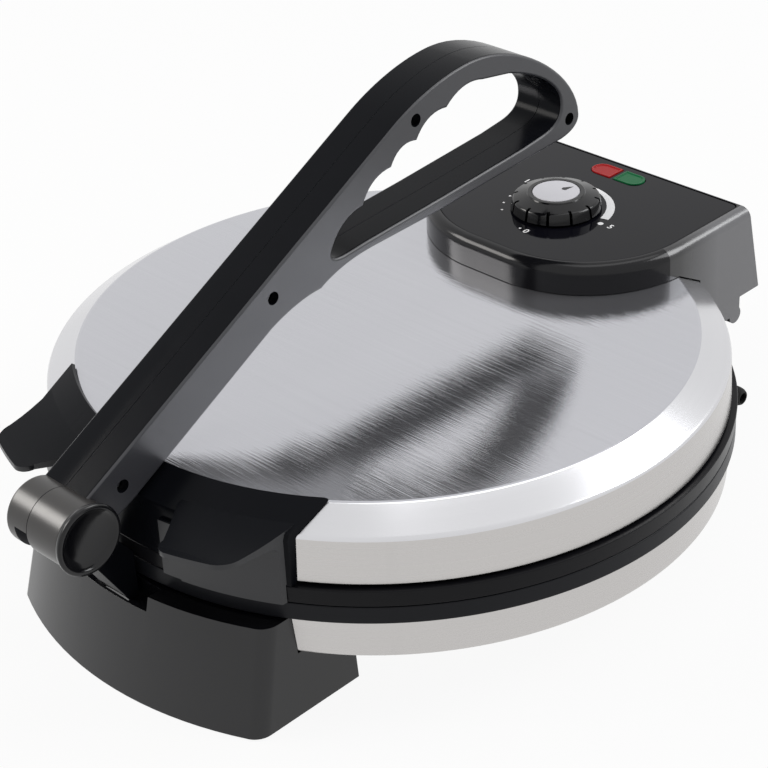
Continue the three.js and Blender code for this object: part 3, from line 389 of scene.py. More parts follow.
moulded = newSkin("mouldedSkin", mouldedNoises, 0.0002)
brushed = newSkin("brushedSkin", brushedNoises, 0.0001)
turned = turnedVector()


def newMaterial(name):
    material = bpy.data.materials.new(name)
    material.use_nodes = True
    tree = material.node_tree
    return material, tree, newNode(tree, "TexCoord", {})["Object"]


def wearSkin(tree, skin, inputs, values):
    worn = newNode(tree, "Group", inputs, group=skin)
    shader = tree.nodes["Principled BSDF"].inputs
    for label, made in (("Base Color", "Colour"), ("Roughness", "Roughness"), ("Normal", "Normal")):
        tree.links.new(worn[made], shader[label])
    for label, value in values.items():
        shader[label].default_value = value


def plastic(name, colour, roughness, spread, grain, depth, specular=0.5, shade=0.16, coat=0.0, paintedLightFade=None):
    material, tree, place = newMaterial(name)
    tint = (*colour, 1)
    if paintedLightFade:  # painted light: the colour goes over from dark to light towards the rear
        low, run = paintedLightFade["from"] * metre, (paintedLightFade["to"] - paintedLightFade["from"]) * metre
        y = newNode(tree, "SeparateXYZ", {0: place})["Y"]
        share = mathNode(tree, "MINIMUM", mathNode(tree, "SUBTRACT", y, low), run)
        tint = newNode(tree, "MixRGB", {"Fac": mathNode(tree, "DIVIDE", share, run),
                                        "Color1": (*paintedLightFade["dark"], 1), "Color2": tint})["Color"]
    wearSkin(tree, moulded, {
        "Vector": place, "Colour": tint, "Shade": shade, "Roughness": roughness, "Spread": spread,
        "Grain": grain, "Depth": depth,
    }, {"Coat Weight": coat, "Coat Roughness": 0.05, "Specular IOR Level": specular})
    return material


def metal(name, colour, roughness, spread, depth, shade, lines, metallic=1.0):
    # three numbers stretch straight lines, two are the change around and across turned ones
    material, tree, place = newMaterial(name)
    if len(lines) == 3:
        vector = newNode(tree, "Mapping", {"Vector": place, "Scale": lines})["Vector"]
    else:
        centred = newNode(tree, "Mapping", {"Vector": place, "Location": (0, -axisY * metre, 0)})["Vector"]
        vector = newNode(tree, "Group", {"Vector": centred, "Around": lines[0], "Across": lines[1]},
                         group=turned)["Vector"]
    wearSkin(tree, brushed, {"Vector": vector, "Colour": (*colour, 1), "Shade": shade, "Roughness": roughness,
                             "Spread": spread, "Depth": depth}, {"Metallic": metallic})
    return material


metals = {  # colour, roughness and its spread, depth, shade, lines, metallic
    "lidTop": ((0.53, 0.533, 0.565), 0.085, 0.08, 0.5, 0.12, (11, 1700, 11), 0.86),
    "lidBevel": ((0.63, 0.63, 0.65), 0.2, 0.05, 0.02, 0.05, (2.0, 900.0)),
    "steelBand": ((0.55, 0.535, 0.525), 0.27, 0.08, 0.03, 0.06, (3.0, 2200.0)),
    "plateMetal": ((0.09, 0.09, 0.095), 0.42, 0.12, 0.12, 0.3, (2.0, 1500.0), 0.6),
    "plainSteel": ((0.42, 0.42, 0.43), 0.36, 0.2, 0.1, 0.25, (300, 300, 1800)),
}
plastics = {  # colour, roughness and its spread, grain and its depth, specular, shade, coat, painted light fade
    "satinBlack": ((0.013, 0.0135, 0.0165), 0.34, 0.12, 1700.0, 0.05),
    # painted shade: a darker copy of the black for faces that are to look shaded
    "paintedShadeBlack": ((0.0045, 0.005, 0.0068), 0.22, 0.1, 1500.0, 0.03, 0.06),
    "glossBlack": ((0.006, 0.006, 0.0075), 0.16, 0.08, 900.0, 0.02, 0.28),
    "footBlack": ((0.005, 0.005, 0.0065), 0.13, 0.08, 1100.0, 0.02),
    "knobBlack": ((0.004, 0.004, 0.005), 0.13, 0.05, 1100.0, 0.02, 0.35),
    # painted light: a lighter copy of the satin black for the lever's side faces
    "paintedLightSideBlack": ((0.034, 0.0345, 0.04), 0.36, 0.08, 1900.0, 0.07, 0.6),
    # painted light: a lighter copy of the gloss black for the housing's right wall, going over to dark gloss black
    # towards the front
    "paintedLightBlack": ((0.115, 0.115, 0.123), 0.25, 0.08, 1200.0, 0.03, 0.8, 0.16, 0.0,
                 {"dark": (0.006, 0.006, 0.0075), "from": 121.0, "to": 146.0}),
    "barrelBlack": ((0.014, 0.012, 0.011), 0.3, 0.08, 1300.0, 0.03, 0.7),
    "rimBlack": ((0.006, 0.006, 0.0075), 0.3, 0.12, 1400.0, 0.05, 0.12),
    "slate": ((0.009, 0.0095, 0.012), 0.36, 0.1, 1800.0, 0.04, 0.14),
    "panelSlate": ((0.0042, 0.0042, 0.0068), 0.07, 0.03, 2200.0, 0.01, 0.12),
    "silverPaint": ((0.6, 0.6, 0.64), 0.34, 0.08, 2600.0, 0.03, 0.3, 0.08),
    "whitePrint": ((0.96, 0.96, 0.97), 0.5, 0.1, 1600.0, 0.06, 0.1, 0.04),
    "redLens": ((0.32, 0.009, 0.01), 0.2, 0.1, 500.0, 0.02, 0.12, 0.3),
    "greenLens": ((0.004, 0.115, 0.038), 0.2, 0.1, 500.0, 0.02, 0.12, 0.3),
    "rubber": ((0.01, 0.01, 0.01), 0.7, 0.1, 2400.0, 0.18, 0.25),
    "ceramic": ((0.62, 0.58, 0.5), 0.6, 0.1, 1900.0, 0.12),
    "lampGlass": ((0.7, 0.66, 0.6), 0.1, 0.1, 1600.0, 0.06, 0.5, 0.16, 0.5),
}
finishes = {name: metal(name, *look) for name, look in metals.items()}
finishes.update((name, plastic(name, *look)) for name, look in plastics.items())
print("materials ready:", len(finishes))


# Round casings, turned about the machine's axis

lidCover = {"sheet": 0.8, "flatEdge": 0.9, "bevelEdge": 1.4, "footEdge": 0.3}


def makeLidCover():
    radius, flare, sheet = machine["coverRadius"], machine["coverFlare"], lidCover["sheet"]
    flatRadius, flat, shoulder = machine["flatRadius"], machine["flat"], machine["bevel"]
    form = lathe([
        (0, flat),
        (flatRadius, flat, lidCover["flatEdge"]),
        (radius, shoulder, lidCover["bevelEdge"]),
        (radius + flare, machine["coverFoot"], lidCover["footEdge"]),
        (radius + flare - sheet, machine["coverFoot"]),
        (radius - sheet, shoulder - sheet / 3),
        (flatRadius - sheet / 3, flat - sheet),
        (0, flat - sheet),
    ], axisPoint, steps=200)

    def chooser(face):
        height, tilt = face.center.z, face.normal.z
        if height > flat - 0.25 and tilt > 0.9:
            return 0
        return 1 if height > shoulder - 0.5 else 2

    finishPiece(form, "lidCover", "lid", ["lid_cover"], ["lidTop", "lidBevel", "steelBand"],
                chooser, 25)


rims = {"bed": 130.3, "skirt": 139.0, "skirtIn": 136.0, "ledgeIn": 126.0, "ledge": 6.2, "ledgeEnd": 7.45,
        "skirtEnd": 16.5, "edge": 0.5, "baseHeight": 7.45, "lidHeight": 7.2}


def makeRim(name, faceZ, way, height, edgeRadius, body, node, look):
    size = rims
    levels = [
        (size["bed"], 0), (machine["rimRadius"], 0, size["edge"]),
        (edgeRadius, height, size["edge"]), (size["skirt"], height), (size["skirt"], size["skirtEnd"]),
        (size["skirtIn"], size["skirtEnd"]), (size["skirtIn"], size["ledgeEnd"]),
        (size["ledgeIn"], size["ledgeEnd"]), (size["ledgeIn"], size["ledge"]), (size["bed"], size["ledge"]),
    ]
    form = lathe([(radius, faceZ + way * level, *rounding) for radius, level, *rounding in levels],
                 axisPoint, steps=200)
    finishPiece(form, name, body, [node], [look], None, 25)


basePan = {"sheet": 0.8, "corner": 1.5, "ventRadius": 66, "ventLength": 24, "ventWidth": 3, "vents": 8}


def makeBasePan():
    radius, sheet, low, high = machine["panRadius"], basePan["sheet"], machine["panFloor"], machine["panTop"]
    form = lathe([
        (0, low), (radius, low, basePan["corner"]), (radius, high), (radius - sheet, high),
        (radius - sheet, low + sheet, basePan["corner"] - sheet), (0, low + sheet),
    ], axisPoint, steps=200)
    slots = []
    for count in range(basePan["vents"]):
        middle, half = basePan["ventRadius"], basePan["ventLength"] / 2
        slot = block((middle - half, -basePan["ventWidth"] / 2, low - beyond),
                     (middle + half, basePan["ventWidth"] / 2, low + sheet + beyond))
        slot.data.transform(Matrix.Rotation(pi * (2 * count + 1) / basePan["vents"], 4, "Z"))
        slot.data.transform(Matrix.Translation(axisPoint))
        slots.append(slot)
    combine(form, slots)
    finishPiece(form, "basePan", "base", ["base_pan"], ["steelBand"], None, 25)


cookingPlates = {"radius": 129.3, "thickness": 5.5, "edge": 0.8, "lowerFace": 51.8, "upperFace": 52.9}


def makePlate(name, faceZ, way, body, node):
    size = cookingPlates
    form = rod(size["radius"], axisPoint, faceZ, faceZ + way * size["thickness"], 160, edge=size["edge"])
    finishPiece(form, name, body, [node], ["plateMetal"], None, 25)


makeLidCover()
makeRim("baseRim", machine["closing"], -1, rims["baseHeight"], machine["rimRadius"], "base", "base_rim",
        "slate")
makeRim("lidRim", machine["lidRim"], 1, rims["lidHeight"], machine["rimRadius"] + machine["rimFlare"], "lid",
        "lid_rim", "rimBlack")
makeBasePan()
makePlate("lowerPlate", cookingPlates["lowerFace"], -1, "base", "lower_plate")
makePlate("upperPlate", cookingPlates["upperFace"], 1, "lid", "upper_plate")
print("round casings ready")


# Feet: hollow mouldings with a ledge under the pan

feet = {
    "lift": 0.8, "wall": 3.0, "corner": 8.0, "back": -84.15, "ceiling": 27.2, "edge": 0.9,
    "post": 10.5, "pad": 8.3, "padHeight": 6.3,
    "front": {"half": 72.0, "reach": 162.0, "lean": 11.0, "sideLean": 3.6, "top": 44.0, "padX": 57.0,
              "padY": -96.15},
    "rear": {"half": 62.0, "reach": 163.0, "lean": 10.0, "sideLean": 0.0, "top": 43.4, "padX": 47.0,
             "padY": -96.15},
    "notchHalf": 19.0, "notchZ": 38.0, "armHalf": 8.3, "armFront": -141.35, "armBack": -135.25,
    "frontEnd": -170, "panEnd": 70,
}


def footForm(size, inset, low, high):
    # drawn at its front, -Y; the rear foot is turned round afterwards
    half, corner = size["half"] - inset, feet["corner"] - inset
    share = (low - feet["lift"]) / (size["top"] - feet["lift"])
    reach = size["reach"] - inset - size["lean"] * share
    x = half - corner
    y = -((reach - corner) ** 2 - x ** 2) ** 0.5
    meet = atan2(-y, x)  # from +X down to the corner's centre
    bm = bmesh.new()
    drawPlan(bm, (half, feet["back"] - inset), [
        (-half, feet["back"] - inset), (-half, y + axisY),
        (-x, y + axisY, meet), (0, axisY, pi - 2 * meet), (x, y + axisY, meet),
    ], low)
    rise = (high - low) / (size["top"] - feet["lift"])
    for vert in raisePlan(bm, high - low):
        vert.co.x *= (half - size["sideLean"] * rise) / half
        if vert.co.y < feet["back"] - inset - 1:
            vert.co.y += size["lean"] * rise
    return newForm(bm)


def padRods(size, radius, low, high):
    return [rod(radius, (x, size["padY"], 0), low, high, 40) for x in (-size["padX"], size["padX"])]


def footShell(size, extra=()):
    wall = feet["wall"]
    clear = machine["panRadius"] + fit
    inside = footForm(size, wall, feet["lift"] - beyond, size["top"] - wall)
    kept = rod(clear + wall, axisPoint, feet["ceiling"] - wall, feet["panEnd"], 160)
    combine(inside, [kept, *extra])
    form = footForm(size, 0, feet["lift"], size["top"])
    combine(form, [rod(clear, axisPoint, feet["ceiling"], feet["panEnd"], 200), inside])
    combine(form, padRods(size, feet["post"], feet["lift"], feet["ceiling"]), "UNION")
    return combine(form, padRods(size, feet["pad"], -beyond, feet["padHeight"]))


def makeFrontFoot():
    size = feet["front"]
    wallHalf = feet["notchHalf"] + feet["wall"]
    bed = block((-wallHalf, feet["frontEnd"], feet["notchZ"] - feet["wall"]), (wallHalf, 0, size["top"]))
    form = footShell(size, [bed])
    notchBack = -(machine["panRadius"] + fit + feet["wall"]) + axisY
    combine(form, [
        block((-feet["notchHalf"], feet["frontEnd"], feet["notchZ"]),
              (feet["notchHalf"], notchBack, size["top"] + beyond)),
        block((-feet["armHalf"], feet["armFront"], feet["notchZ"] - feet["wall"] - beyond),
              (feet["armHalf"], feet["armBack"], feet["notchZ"] + beyond)),
    ])
    soften(form, feet["edge"])
    finishPiece(form, "frontFoot", "base", ["front_foot"], ["footBlack"])


knuckles = {"radius": 7.0, "inner": 38.7, "outer": 50.0, "front": 153.45, "rear": 164.35, "root": 12.0,
            "bore": 2.8}


def makeRearFoot():
    form = footShell(feet["rear"])
    toAxis = Matrix.Translation(axisPoint)
    form.data.transform(toAxis @ Matrix.Rotation(pi, 4, "Z") @ toAxis.inverted())
    size, (_, y, z) = knuckles, machine["hinge"]
    parts = []
    for low, high in ((size["inner"], size["outer"]), (-size["outer"], -size["inner"])):
        parts.append(crossRod(size["radius"], (0, y, z), low, high, 48))
        parts.append(block((low, size["front"], size["root"]), (high, size["rear"], z)))
    combine(form, parts, "UNION")
    combine(form, [crossRod(size["bore"], (0, y, z), -size["outer"] - beyond, size["outer"] + beyond)])
    soften(form, feet["edge"] / 2, 2)
    finishPiece(form, "rearFoot", "base", ["rear_foot"], ["satinBlack"])


rubberPads = {"radius": 8.0, "height": 6.0, "chamfer": 0.9, "ring": 5.2, "ringSlope": 0.6, "ringDepth": 0.5}


def makeRubberPads():
    size = rubberPads
    for end, way in (("front", 1), ("rear", -1)):
        for side, x in (("left", -feet[end]["padX"]), ("right", feet[end]["padX"])):
            y = feet[end]["padY"] if way > 0 else 2 * axisY - feet[end]["padY"]
            form = lathe([
                (0, size["ringDepth"]), (size["ring"] - size["ringSlope"], size["ringDepth"]), (size["ring"], 0),
                (size["radius"], 0, size["chamfer"]), (size["radius"], size["height"]), (0, size["height"]),
            ], (x, y, 0), steps=48)
            finishPiece(form, f"rubberPad.{end}.{side}", "base", [f"rubber_foot_{end}_{side}"],
                        ["rubber"], None, 33)


gland = {
    "y": 143.25, "z": 24.2, "root": 59.3, "collar": 62.3, "collarWidth": 1.7, "collarRadius": 6.5,
    "radius": 5.0, "tipRadius": 3.9, "tip": 83.5, "plainTip": 3, "tipSlope": 1.5, "tipWall": 0.8, "bore": 2.4,
    "ribs": 4, "grooveDepth": 0.9, "grooveSlope": 0.4, "ribShares": (0.35, 0.5, 0.97),
}


def makeCordGland():
    size = gland
    neck = size["collar"] + size["collarWidth"]
    profile = [(size["bore"], size["root"]), (size["radius"], size["root"]), (size["radius"], size["collar"]),
               (size["collarRadius"], size["collar"], 0.3), (size["collarRadius"], neck, 0.5)]
    pitch = (size["tip"] - size["plainTip"] - neck) / size["ribs"]
    grooveEnd, ribStart, ribEnd = size["ribShares"]
    for count in range(size["ribs"]):
        radius = size["radius"] - (size["radius"] - size["tipRadius"]) * count / size["ribs"]
        deep, start = radius - size["grooveDepth"], neck + pitch * count
        profile += [(deep, start + size["grooveSlope"]), (deep, start + pitch * grooveEnd),
                    (radius, start + pitch * ribStart), (radius, start + pitch * ribEnd)]
    profile += [(size["tipRadius"], size["tip"] - size["tipSlope"]),
                (size["tipRadius"] - size["tipWall"], size["tip"], 0.3), (size["bore"], size["tip"])]
    form = lathe(profile, (0, size["y"], size["z"]), 40, alongX=True)
    finishPiece(form, "cordGland", "base", ["cord_gland"], ["rubber"], None, 33)


makeFrontFoot()
makeRearFoot()
makeRubberPads()
makeCordGland()
print("feet ready")


# Lever bracket: a leaning arm whose end follows the lever's hub

bracket = {"half": 8.0, "tongue": 9.0, "tongueOut": -6.9, "clear": 15.2, "front": -139.55, "back": -135.55,
           "root": 19.9, "rootTop": 23.9, "shoulderZ": 57.5, "armFront": 285, "armRear": 332,
           "neckStart": 283, "neckEnd": 334, "flangeHalf": 24.0, "flangeBack": -94.15, "edge": 0.7,
           "bore": 4.3, "boreLeft": -12, "boreRight": 2, "lean": 0.6009, "neckOut": 0.6}


def makeLeverBracket():
    size = bracket
    _, y, z = machine["pivot"]

    def around(radius, angle):
        return y + radius * cos(radians(angle)), z + radius * sin(radians(angle))

    front, back, root, clear = size["front"], size["back"], size["root"], size["clear"]
    tipY, tipZ = around(clear, size["armFront"])
    form = sidePrism((front, root), [
        (back, root), (back, size["shoulderZ"]), around(clear, size["armRear"]),
        (y, z, radians(size["armFront"] - size["armRear"])), (front, tipZ - (front - tipY) / size["lean"]),
    ], -size["half"], size["half"])
    soften(form, size["edge"])
    neck = sidePrism((y, z), [around(clear + size["neckOut"], size["neckStart"]),
                              (y, z, radians(size["neckEnd"] - size["neckStart"]))],
                     size["tongueOut"], -fit)
    flange = block((-size["flangeHalf"], front, root),
                   (size["flangeHalf"], size["flangeBack"], size["rootTop"]))
    disc = crossRod(size["tongue"], (0, y, z), size["tongueOut"], -fit, 48)
    combine(form, [flange, neck, disc], "UNION")
    combine(form, [crossRod(size["bore"], (0, y, z), size["boreLeft"], size["boreRight"])])
    # painted shade: the faces turned sideways get a darker shaded copy of the black
    finishPiece(form, "leverBracket", "base", ["lever_bracket"], ["glossBlack", "paintedShadeBlack"],
                lambda face: abs(face.normal.x) > 0.9)


makeLeverBracket()
print("bracket ready")


# Front grip: a collar over the cover's bevel and two thumb lugs with a wall below each

grip = {
    "back": 127.65, "low": 60.0, "edge": 89.2, "collarEdge": 1.2, "skin": 2.55, "backHalf": 74.6,
    "backY": -80.15, "lugInner": 38.0, "lugHeel": 28.0, "heelY": -128.0, "wallInner": 22.0, "lugOuter": 68.2,
    "lugRadius": 164.5, "fall": 7.9, "thickness": 2.7, "haunch": 2.0, "lipRound": 1.5, "wallRound": 0.6,
    "wall": 1.7, "outerCorner": 11.0, "innerCorner": 5.0, "soft": 0.8, "tuck": 1.5, "sideStep": 0.15,
    "scoop": 2.6, "scoopSteps": 8, "sweep": 72, "sweepSteps": 90,
}


def coverSpace():
    radius, foot, top = machine["coverRadius"] + fit, machine["lidRim"], machine["flat"] + fit
    skirt = radius + machine["coverFlare"]
    return lathe([(0, foot), (skirt, foot), (skirt, machine["coverFoot"]), (radius, machine["bevel"] + fit),
                  (machine["flatRadius"] + fit, top), (0, top)], axisPoint, steps=200)


def lugPrism(start, heel, low, high):
    size = grip
    inner, outer, reach = size["innerCorner"], size["outerCorner"], size["lugRadius"]
    innerX, outerX = start + inner, size["lugOuter"] - size["sideStep"] - outer
    innerY = -((reach - inner) ** 2 - innerX ** 2) ** 0.5
    outerY = -((reach - outer) ** 2 - outerX ** 2) ** 0.5
    innerMeet, outerMeet = atan2(innerY, innerX), atan2(outerY, outerX)
    back = size["backY"] - size["sideStep"]
    return prism((start, innerY + axisY), [
        (innerX, innerY + axisY, pi + innerMeet), (0, axisY, outerMeet - innerMeet),
        (outerX, outerY + axisY, -outerMeet), (size["backHalf"] - size["sideStep"], back), (heel, back),
        (heel, size["heelY"]),
    ], low, high)


def makeLidGrip():
    size = grip
    back, backHalf, backY, skin, edge = size["back"], size["backHalf"], size["backY"], size["skin"], size["edge"]
    reach, haunch, bevel, rimZ = size["lugRadius"], size["haunch"], machine["bevel"], machine["lidRim"]
    rimEdge = machine["rimRadius"] + machine["rimFlare"]
    wallRadius = rimEdge + fit

    def sector(profile):
        return lathe(profile, axisPoint, size["sweepSteps"], start=radians(-90 - size["sweep"] / 2),
                     sweep=radians(size["sweep"]))

    collar = sector([
        (back, size["low"]), (back, edge), (back + size["collarEdge"], machine["flat"] + skin),
        (machine["coverRadius"] + skin, bevel + skin), (rimEdge, bevel), (rimEdge, size["low"]),
    ])
    slope = size["fall"] / (reach - back)
    lip = edge - size["fall"] - size["thickness"]
    wallOut = wallRadius + size["wall"]
    lugBack, lugLow = back + size["tuck"], size["low"] + size["tuck"] / 2  # inside the collar
    lugEnd = reach + beyond
    hollow = []  # the thumb's hollow sinks and rises again from the collar to the lip
    for count in range(size["scoopSteps"] + 1):
        share = count / size["scoopSteps"]
        radius = lugBack + (lugEnd - lugBack) * share
        sunk = size["scoop"] * 4 * share * (1 - share)
        hollow.append((radius, edge - (radius - back) * slope - sunk))
    lugs = sector([
        (lugBack, lugLow), *hollow, (lugEnd, lip),
        (wallOut + haunch, lip, size["lipRound"]), (wallOut, lip - haunch),
        (wallOut, rimZ + fit), (wallRadius, rimZ + fit), (wallRadius, lugLow),
    ])
    wallTop, wallFoot = lip - haunch / 2, rimZ + 2 * fit
    walls = sector([
        (lugBack + fit, lugLow + fit), (lugBack + fit, wallTop), (wallOut - fit, wallTop, size["wallRound"]),
        (wallOut - fit, wallFoot), (wallRadius + fit, wallFoot), (wallRadius + fit, lugLow + fit),
    ])
    low, high = rimZ - beyond, machine["flat"] + 2 * skin
    sideSlope = (backHalf - size["lugOuter"]) / (reach + backY - axisY)
    frontHalf, front = size["lugOuter"] - beyond * sideSlope, axisY - reach - beyond
    combine(collar, [prism((backHalf, backY), [(-backHalf, backY), (-frontHalf, front), (frontHalf, front)],
                           low, high)], "INTERSECT")
    combine(lugs, [lugPrism(size["lugInner"], size["lugHeel"], low, high)], "INTERSECT")
    combine(walls, [lugPrism(size["wallInner"], size["wallInner"], low, high)], "INTERSECT")
    combine(lugs, [walls], "UNION")
    combine(collar, [lugs, flipped(lugs)], "UNION")
    combine(collar, [coverSpace()])
    soften(collar, size["soft"])

    # painted shade: the collar's inner wall and the upward faces get a darker shaded copy of the black
    def chooser(face):
        radius = hypot(face.center.x, face.center.y - axisY)
        return 1 if radius < wallRadius + fit or face.normal.z > 0.4 else 0

    finishPiece(collar, "lidGrip", "lid", ["lid_grip"], ["satinBlack", "paintedShadeBlack"], chooser)


makeLidGrip()
print("grip ready")


# Control housing: a leaning D in plan, with a recess for the panel and two hinge ears

housing = {
    "half": 65.0, "spread": 0.5, "front": 69.15, "rear": 172.35, "lean": 4.5, "corner": 54.0,
    "cornerSegments": 28, "rearCorner": 3.0, "rearBand": 10, "top": 101.5, "floor": 60.0, "floorThick": 2.5,
    "edge": 4.6, "edgeSegments": 6, "cutEdge": 0.5, "wall": 3.0, "border": 5.2, "recess": 2.3,
    "cutTop": 168.4, "cutSlope": 0.2, "cutSide": 9, "cutRear": 19, "throatInset": 5.0, "throatZ": 97.0,
    "earRadius": 3.9, "earFront": 16.5, "earInner": 50.3, "pinHalf": 64.3, "bore": 2.8,
}


def housingForm(inset, low, high, spread=0.0, lean=0.0):
    size = housing
    half, front, rear = size["half"] - inset, size["front"] + inset, size["rear"] - inset
    bm = bmesh.new()
    corners = [bm.verts.new((x, y, high)) for x, y in
               ((half, rear), (-half, rear), (-half, front), (half, front))]
    bm.faces.new(corners)
    if inset:
        for corner in corners[:2]:
            roundCorner(bm, corner, size["rearCorner"])
    for corner in corners[2:]:
        roundCorner(bm, corner, size["corner"] - inset, size["cornerSegments"])
    for vert in raisePlan(bm, low - high):
        vert.co.x *= (half + spread) / half
        if vert.co.y > rear - size["rearBand"]:
            vert.co.y += lean
    return bm


def rearCut(depth):
    size = housing
    low, high = size["floor"] - 1, size["top"] + 1
    foot = size["cutTop"] - depth + (size["top"] - low) * size["cutSlope"]
    side = size["half"] + size["cutSide"]
    form = block((-side, foot, low), (side, size["rear"] + size["cutRear"], high))
    for vert in form.data.vertices:
        if abs(vert.co.y - foot) < 1 and vert.co.z > size["top"]:
            vert.co.y = foot - (high - low) * size["cutSlope"]
    return form


def makeControlHousing():
    size = housing
    form = roundTop(housingForm(0, size["floor"], size["top"], size["spread"], size["lean"]), size["top"],
                    size["edge"], size["edgeSegments"])
    wall = size["wall"]
    inside = newForm(housingForm(wall, size["floor"] + size["floorThick"], size["throatZ"], size["spread"],
                                 size["lean"]))
    throat = newForm(housingForm(size["throatInset"], size["throatZ"] - beyond, size["top"]))
    recess = newForm(housingForm(size["border"], size["top"] - size["recess"], size["top"] + beyond))
    _, y, z = machine["hinge"]
    outer = size["half"] + size["spread"]
    ears = []
    for low, high in ((size["earInner"], outer), (-outer, -size["earInner"])):
        ears.append(crossRod(size["earRadius"], (0, y, z), low, high, 48))
        ears.append(block((low, y - size["earFront"], z), (high, y + size["earRadius"] - 1,
                                                           size["floor"] + size["floorThick"] / 2)))
    combine(inside, [rearCut(wall)])
    combine(form, [rearCut(0)])
    soften(form, size["cutEdge"], 2, 60)
    combine(form, [inside, throat, recess])
    combine(form, ears, "UNION")
    combine(form, [coverSpace(), crossRod(size["bore"], (0, y, z), -size["pinHalf"], size["pinHalf"])])

    # painted light: flat faces turned to the right get the lighter black, the rest gloss black
    def chooser(face):
        rightward = face.normal.x / max(hypot(face.normal.x, face.normal.y), 0.01)
        return 1 if rightward > 0.99 else 0

    finishPiece(form, "controlHousing", "lid", ["control_housing"], ["glossBlack", "paintedLightBlack"],
                chooser)


panel = {"inset": 5.35, "thickness": 1.8, "edge": 0.4, "shaftHole": 3.6, "cutHalf": 5}


def makeControlPanel():
    form = roundTop(housingForm(panel["inset"], panelTop - panel["thickness"], panelTop), panelTop,
                    panel["edge"], 2)
    low, high = panelTop - panel["cutHalf"], panelTop + panel["cutHalf"]
    windows = [lensForm(side, fit, low, high) for side in (1, -1)]
    combine(form, [*windows, rod(panel["shaftHole"], (*machine["knob"], 0), low, high, 40)])
    finishPiece(form, "controlPanel", "lid", ["control_panel"], ["panelSlate"])


lens = {"y": 158.25, "halfLength": 14.0, "halfWidth": 5.0, "inner": 1.0, "proud": 0.5, "depth": 4.2,
        "rim": 0.9, "slope": 0.35, "dish": 0.45, "soft": 0.25}


def lensForm(side, margin, low, high):
    size = lens
    centre, radius = size["halfLength"] - size["halfWidth"], size["halfWidth"] + margin
    inner = size["inner"] - margin
    form = prism((centre, size["y"] - radius), [
        (centre, size["y"], pi), (inner, size["y"] + radius), (inner, size["y"] - radius)], low, high)
    if side < 0:
        other = flipped(form)
        bpy.data.objects.remove(form)
        form = other
    return form


def makeLens(name, side, node, look):
    top = panelTop + lens["proud"]
    form = lensForm(side, 0, top - lens["depth"], top)
    bm = openForm(form)
    upper = [face for face in bm.faces if face.normal.z > 0.9]
    for width in (lens["rim"], lens["slope"]):
        bmesh.ops.inset_region(bm, faces=upper, thickness=width, use_even_offset=True)
    bmesh.ops.translate(bm, vec=(0, 0, -lens["dish"]), verts=list({v for face in upper for v in face.verts}))
    closeForm(form, bm)
    soften(form, lens["soft"], 2, 30)
    finishPiece(form, name, "lid", [node], [look], None, 40)


makeControlHousing()
makeControlPanel()
makeLens("greenLens", 1, "green_lens", "greenLens")
makeLens("redLens", -1, "red_lens", "redLens")
print("housing and panel ready")


# Dial print: the marks stand a hair above the panel

dialPrint = {
    "thickness": 0.05, "dotRadius": 0.55, "endDotRadius": 1.25, "textSize": 4.6, "textOffset": 0.06,
    "words": {"zero": ("0", 25.6, -79.6), "low": ("1", 30.0, 156.5), "high": ("5", 29.8, 1.5)},
    "dotRing": 23.6, "dotAngles": (-170, -153, -136), "zeroDot": (24.7, -88), "endDot": (24.6, 1.2),
    "crescent": {"start": 12, "end": 110, "outer": 25.4, "inner": 21.6, "tip": 26.2, "swell": 2.2},
}


def polar(radius, angle):
    x, y = machine["knob"]
    return x + radius * cos(radians(angle)), y + radius * sin(radians(angle))


def finishMark(form, name):
    finishPiece(form, name, "lid", [], ["whitePrint"], None, 33)


def makeDot(name, radius, angle, size):
    low = panelTop
    finishMark(rod(size, (*polar(radius, angle), 0), low, low + dialPrint["thickness"], 24), name)


def makeWord(name, text, radius, angle):
    curve = bpy.data.curves.new(name, "FONT")
    curve.body = text
    curve.size = dialPrint["textSize"]
    curve.align_x = "CENTER"
    curve.align_y = "CENTER"
    curve.extrude = dialPrint["thickness"] / 2
    curve.offset = dialPrint["textOffset"]
    form = curveForm(curve, name)
    place = (*polar(radius, angle), panelTop + dialPrint["thickness"] / 2)
    form.data.transform(Matrix.Translation(place))
    bm = openForm(form)
    weld(bm, 0.0005)
    closeForm(form, bm)
    finishMark(form, name)


def makeCrescent():
    size = dialPrint["crescent"]
    bm = bmesh.new()
    x, y = machine["knob"]
    ends = [bm.verts.new((*polar(size[side], size["start"]), panelTop)) for side in ("inner", "outer")]
    edge = bm.edges.new(ends)
    sweep = radians(size["end"] - size["start"])
    bmesh.ops.spin(bm, geom=[*ends, edge], cent=(x, y, 0), axis=upwards, angle=sweep, steps=40)
    for vert in bm.verts:
        dx, dy = vert.co.x - x, vert.co.y - y
        share = (degrees(atan2(dy, dx)) - size["start"]) / (size["end"] - size["start"])
        radius = hypot(dx, dy)
        late = max(0.0, share) ** size["swell"]
        wanted = radius + (size["tip"] - radius) * late
        vert.co.x, vert.co.y = x + dx * wanted / radius, y + dy * wanted / radius
    weld(bm, 0.005)
    raisePlan(bm, dialPrint["thickness"])
    finishMark(newForm(bm), "print.crescent")


for name, (text, radius, angle) in dialPrint["words"].items():
    makeWord(f"print.{name}", text, radius, angle)
for count, angle in enumerate(dialPrint["dotAngles"]):
    makeDot(f"print.dot{count}", dialPrint["dotRing"], angle, dialPrint["dotRadius"])
makeDot("print.zeroDot", *dialPrint["zeroDot"], dialPrint["dotRadius"])
makeDot("print.endDot", *dialPrint["endDot"], dialPrint["endDotRadius"])
makeCrescent()
print("print ready")


# Dial knob with its cap

